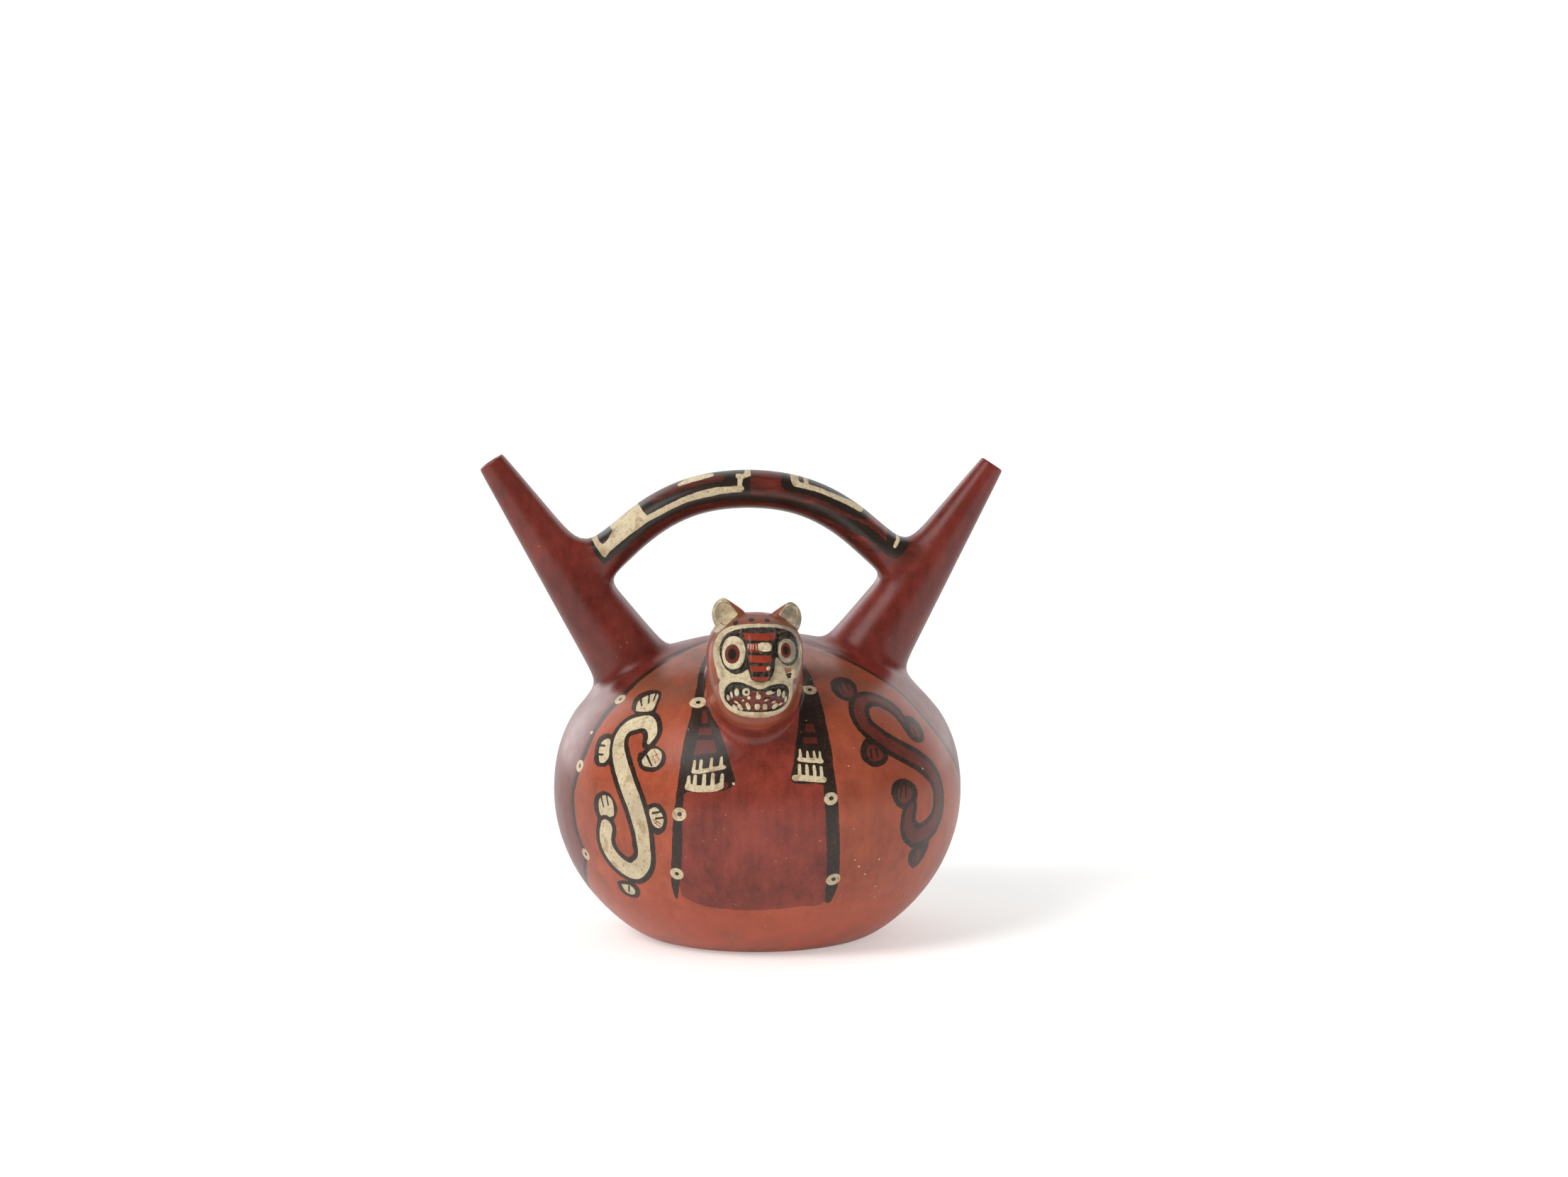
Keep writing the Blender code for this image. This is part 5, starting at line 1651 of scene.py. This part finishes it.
# Painted shade: the orange on the head's front and chin, and on the body's right side away from the
# lamps, is darkened.
head_shade = times(ramp(parts["Y"], -0.060, -0.068), ramp(parts["Z"], 0.087, 0.094))
right_side_shade = times(ramp(parts["X"], 0.028, 0.052), ramp(parts["Z"], 0.046, 0.074))
colour = tint(colour, larger(head_shade, right_side_shade), 0.58, "painted shade")
rubbed = ramp(noise(place, 760, 4, 0.72), 0.45, 0.66)
covers = {}
for name, wander, softness, strength, wear in COATS:
    painted = tree.nodes.new("ShaderNodeAttribute")
    painted.attribute_name = "slip_" + name
    away = painted.outputs["Fac"]
    cover = use_group(EDGE, place, Distance=away, Wander=wander, Softness=softness)["Cover"]
    layer = use_group(CLOUDS, place, Colour=SLIPS[name], Strength=strength)["Colour"]
    if wear:
        cover = times(cover, times_plus(rubbed, -wear, 1.0))
    if name in ("maroon", "brown"):
        layer = tint(layer, use_group(WIPES, place)["Wipe"], 0.85, "wipe")
    colour = blend(cover, colour, layer)
    covers[name] = cover
    if name == "panel":
        bare = less(1.0, larger(covers["maroon"], covers["panel"]))
        smudge = times(use_group(SMUDGES, place)["Smudge"], bare)
        colour = tint(colour, smudge, 0.62, "smoke")
print("coats:", list(covers), "nodes so far:", len(tree.nodes))

# %% [markdown]
# Cream and white are a little thicker and more matt, and brown patches, freckles and grime show
# on them, with painted shade on the cheeks. Pits, grains and a slight unevenness of the surface
# finish the material.

# %% Wear, gloss and surface
SMOOTHEST, CLOUD_MATT, PALE_MATT = 0.25, 0.14, 0.16
BUMP_STRENGTH, BUMP_DISTANCE = 0.35, 0.00025
GLOSS_LEVEL = 0.5
cream = times(covers["cream"], less(1.0, covers["ink"]))
pale = larger(cream, covers["white"])
stain = times(ramp(noise(place, 165, 5, 0.72), 0.50, 0.66), 0.62)
freckle = times(ramp(noise(place, 900, 4, 0.72), 0.54, 0.67), 0.8)
colour = tint(colour, larger(stain, freckle), pale, "freckle")
# Dull patches on the cheeks: partly grime, partly painted shade towards the sides of the face.
colour = tint(colour, times(use_group(GRIME_AND_SHADE, place)["Grime and shade"], 0.68), pale, "grime and shade")
pits = use_group(PITS, place)
colour = tint(colour, pits["Pits"], 0.55, "pit")
colour = tint(colour, pits["Grains"], 0.26, "grain")
feed(shader.inputs["Base Color"], colour)
rough = times_plus(ramp(ground["Blotches"], 0.25, 0.8, smooth=False), CLOUD_MATT, SMOOTHEST)
feed(shader.inputs["Roughness"], times_plus(pale, PALE_MATT, rough))
height = times_plus(pale, 0.35, times(noise(place, 230, 3, 0.5), 0.45))
height = times_plus(pits["Pits"], -0.8, height)
height = times_plus(noise(place, 1800, 2, 0.6), 0.12, height)
bump = add(tree, "Bump", Strength=BUMP_STRENGTH, Distance=BUMP_DISTANCE, Height=height)
feed(shader.inputs["Normal"], bump.outputs["Normal"])
shader.inputs["Specular IOR Level"].default_value = GLOSS_LEVEL
vessel.data.materials.clear()
vessel.data.materials.append(slip)
print("material nodes:", len(tree.nodes))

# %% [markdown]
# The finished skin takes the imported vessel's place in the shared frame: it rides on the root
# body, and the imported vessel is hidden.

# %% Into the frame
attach(vessel, "root")
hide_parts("vessel")
print("in the frame:", vessel.name)

# %% [markdown]
# The vessel stands on a plain white floor that glows a little, so that it runs softly into the
# bright room behind it.

# %% The floor
bpy.ops.mesh.primitive_plane_add(size=6, location=(0, 0.8, 0))
floor = bpy.context.object
floor.name = "studio_floor"
paper = bpy.data.materials.new("pale_paper")
paper.use_nodes = True
paper_shader = paper.node_tree.nodes["Principled BSDF"]
rays = paper.node_tree.nodes.new("ShaderNodeLightPath").outputs
for name, value in (("Base Color", (0.85, 0.85, 0.84, 1)), ("Roughness", 0.9),
                    ("Emission Color", (1, 1, 0.98, 1)),
                    ("Emission Strength", times_plus(rays["Is Camera Ray"], 0.22, 0.18))):
    feed(paper_shader.inputs[name], value)
floor.data.materials.append(paper)
print("floor:", [round(v, 1) for v in floor.dimensions[:2]], "m")

# %% [markdown]
# A large soft sun on the left casts the soft shadow, and two soft squares light the front. Only
# the left one shows in the gloss.

# %% The lamps
AIM = (0, 0, 0.08)


def soft_light(name, kind, place_at, size, power, glossy=True):
    """A square light with its side in metres, or a sun with its angle in degrees."""
    lamp = bpy.data.lights.new(name, kind)
    if kind == "AREA":
        lamp.size = size
    else:
        lamp.angle = math.radians(size)
    lamp.energy = power
    made = bpy.data.objects.new(name, lamp)
    bpy.context.scene.collection.objects.link(made)
    made.location = place_at
    made.rotation_euler = (Vector(AIM) - Vector(place_at)).to_track_quat("-Z", "Y").to_euler()
    made.visible_glossy = glossy


soft_light("window", "SUN", (-0.60, -0.62, 0.70), 24, 1.5, glossy=False)
soft_light("key_light", "AREA", (-0.75, -0.75, 1.05), 0.85, 5)
soft_light("fill_light", "AREA", (0.95, -0.75, 0.65), 0.9, 3, glossy=False)
print("lamps:", [light.name for light in bpy.data.lights])

# %% [markdown]
# The room is bright behind the vessel and dim in front of it, so that the dark slips stay dark.
# In the gloss it has two pale walls at the back, and the camera sees it plain white.

# %% The room
world = bpy.data.worlds.new("studio")
bpy.context.scene.world = world
world.use_nodes = True
sky = world.node_tree
side = split(sky.nodes.new("ShaderNodeTexCoord").outputs["Generated"])
rays = sky.nodes.new("ShaderNodeLightPath").outputs
lit = times_plus(ramp(side["Y"], -0.4, 0.5), 0.45, 0.28)
left_wall = times(ramp(side["X"], -0.30, -0.6), 2.6)
right_wall = times(ramp(side["X"], 0.30, 0.6), 1.0)
walls = times(maths("ADD", left_wall, right_wall), ramp(side["Y"], 0.35, 0.7))
mirrored_room = maths("ADD", times_plus(ramp(side["Y"], 0.1, 0.8), 0.95, 0.03), walls)
gloss_share = times(less(mirrored_room, lit), rays["Is Glossy Ray"])
seen = times(rays["Is Camera Ray"], 1.2)
background = sky.nodes["Background"].inputs
feed(background["Color"], (1, 1, 1, 1))
feed(background["Strength"], larger(maths("ADD", lit, gloss_share), seen))
bpy.context.scene.view_settings.view_transform = "Standard"
print("room nodes:", len(sky.nodes))

# %% [markdown]
# The camera stands where the photograph's did: 1.4 metres in front, a little above the vessel,
# and looks slightly down.

# %% The camera
PITCH, YAW = math.radians(6.22289632), math.radians(0.41686652)
camera = bpy.data.objects.new("camera", bpy.data.cameras.new("camera"))
bpy.context.scene.collection.objects.link(camera)
camera.data.lens = 85
camera.data.sensor_width = 36
camera.location = (0, -1.4, 0.285)
level = math.cos(PITCH)
ahead = Vector((math.sin(YAW) * level, math.cos(YAW) * level, -math.sin(PITCH)))
camera.rotation_euler = ahead.to_track_quat("-Z", "Y").to_euler()
bpy.context.scene.camera = camera
print("camera at", [round(v, 3) for v in camera.location], "with a lens of", camera.data.lens, "mm")
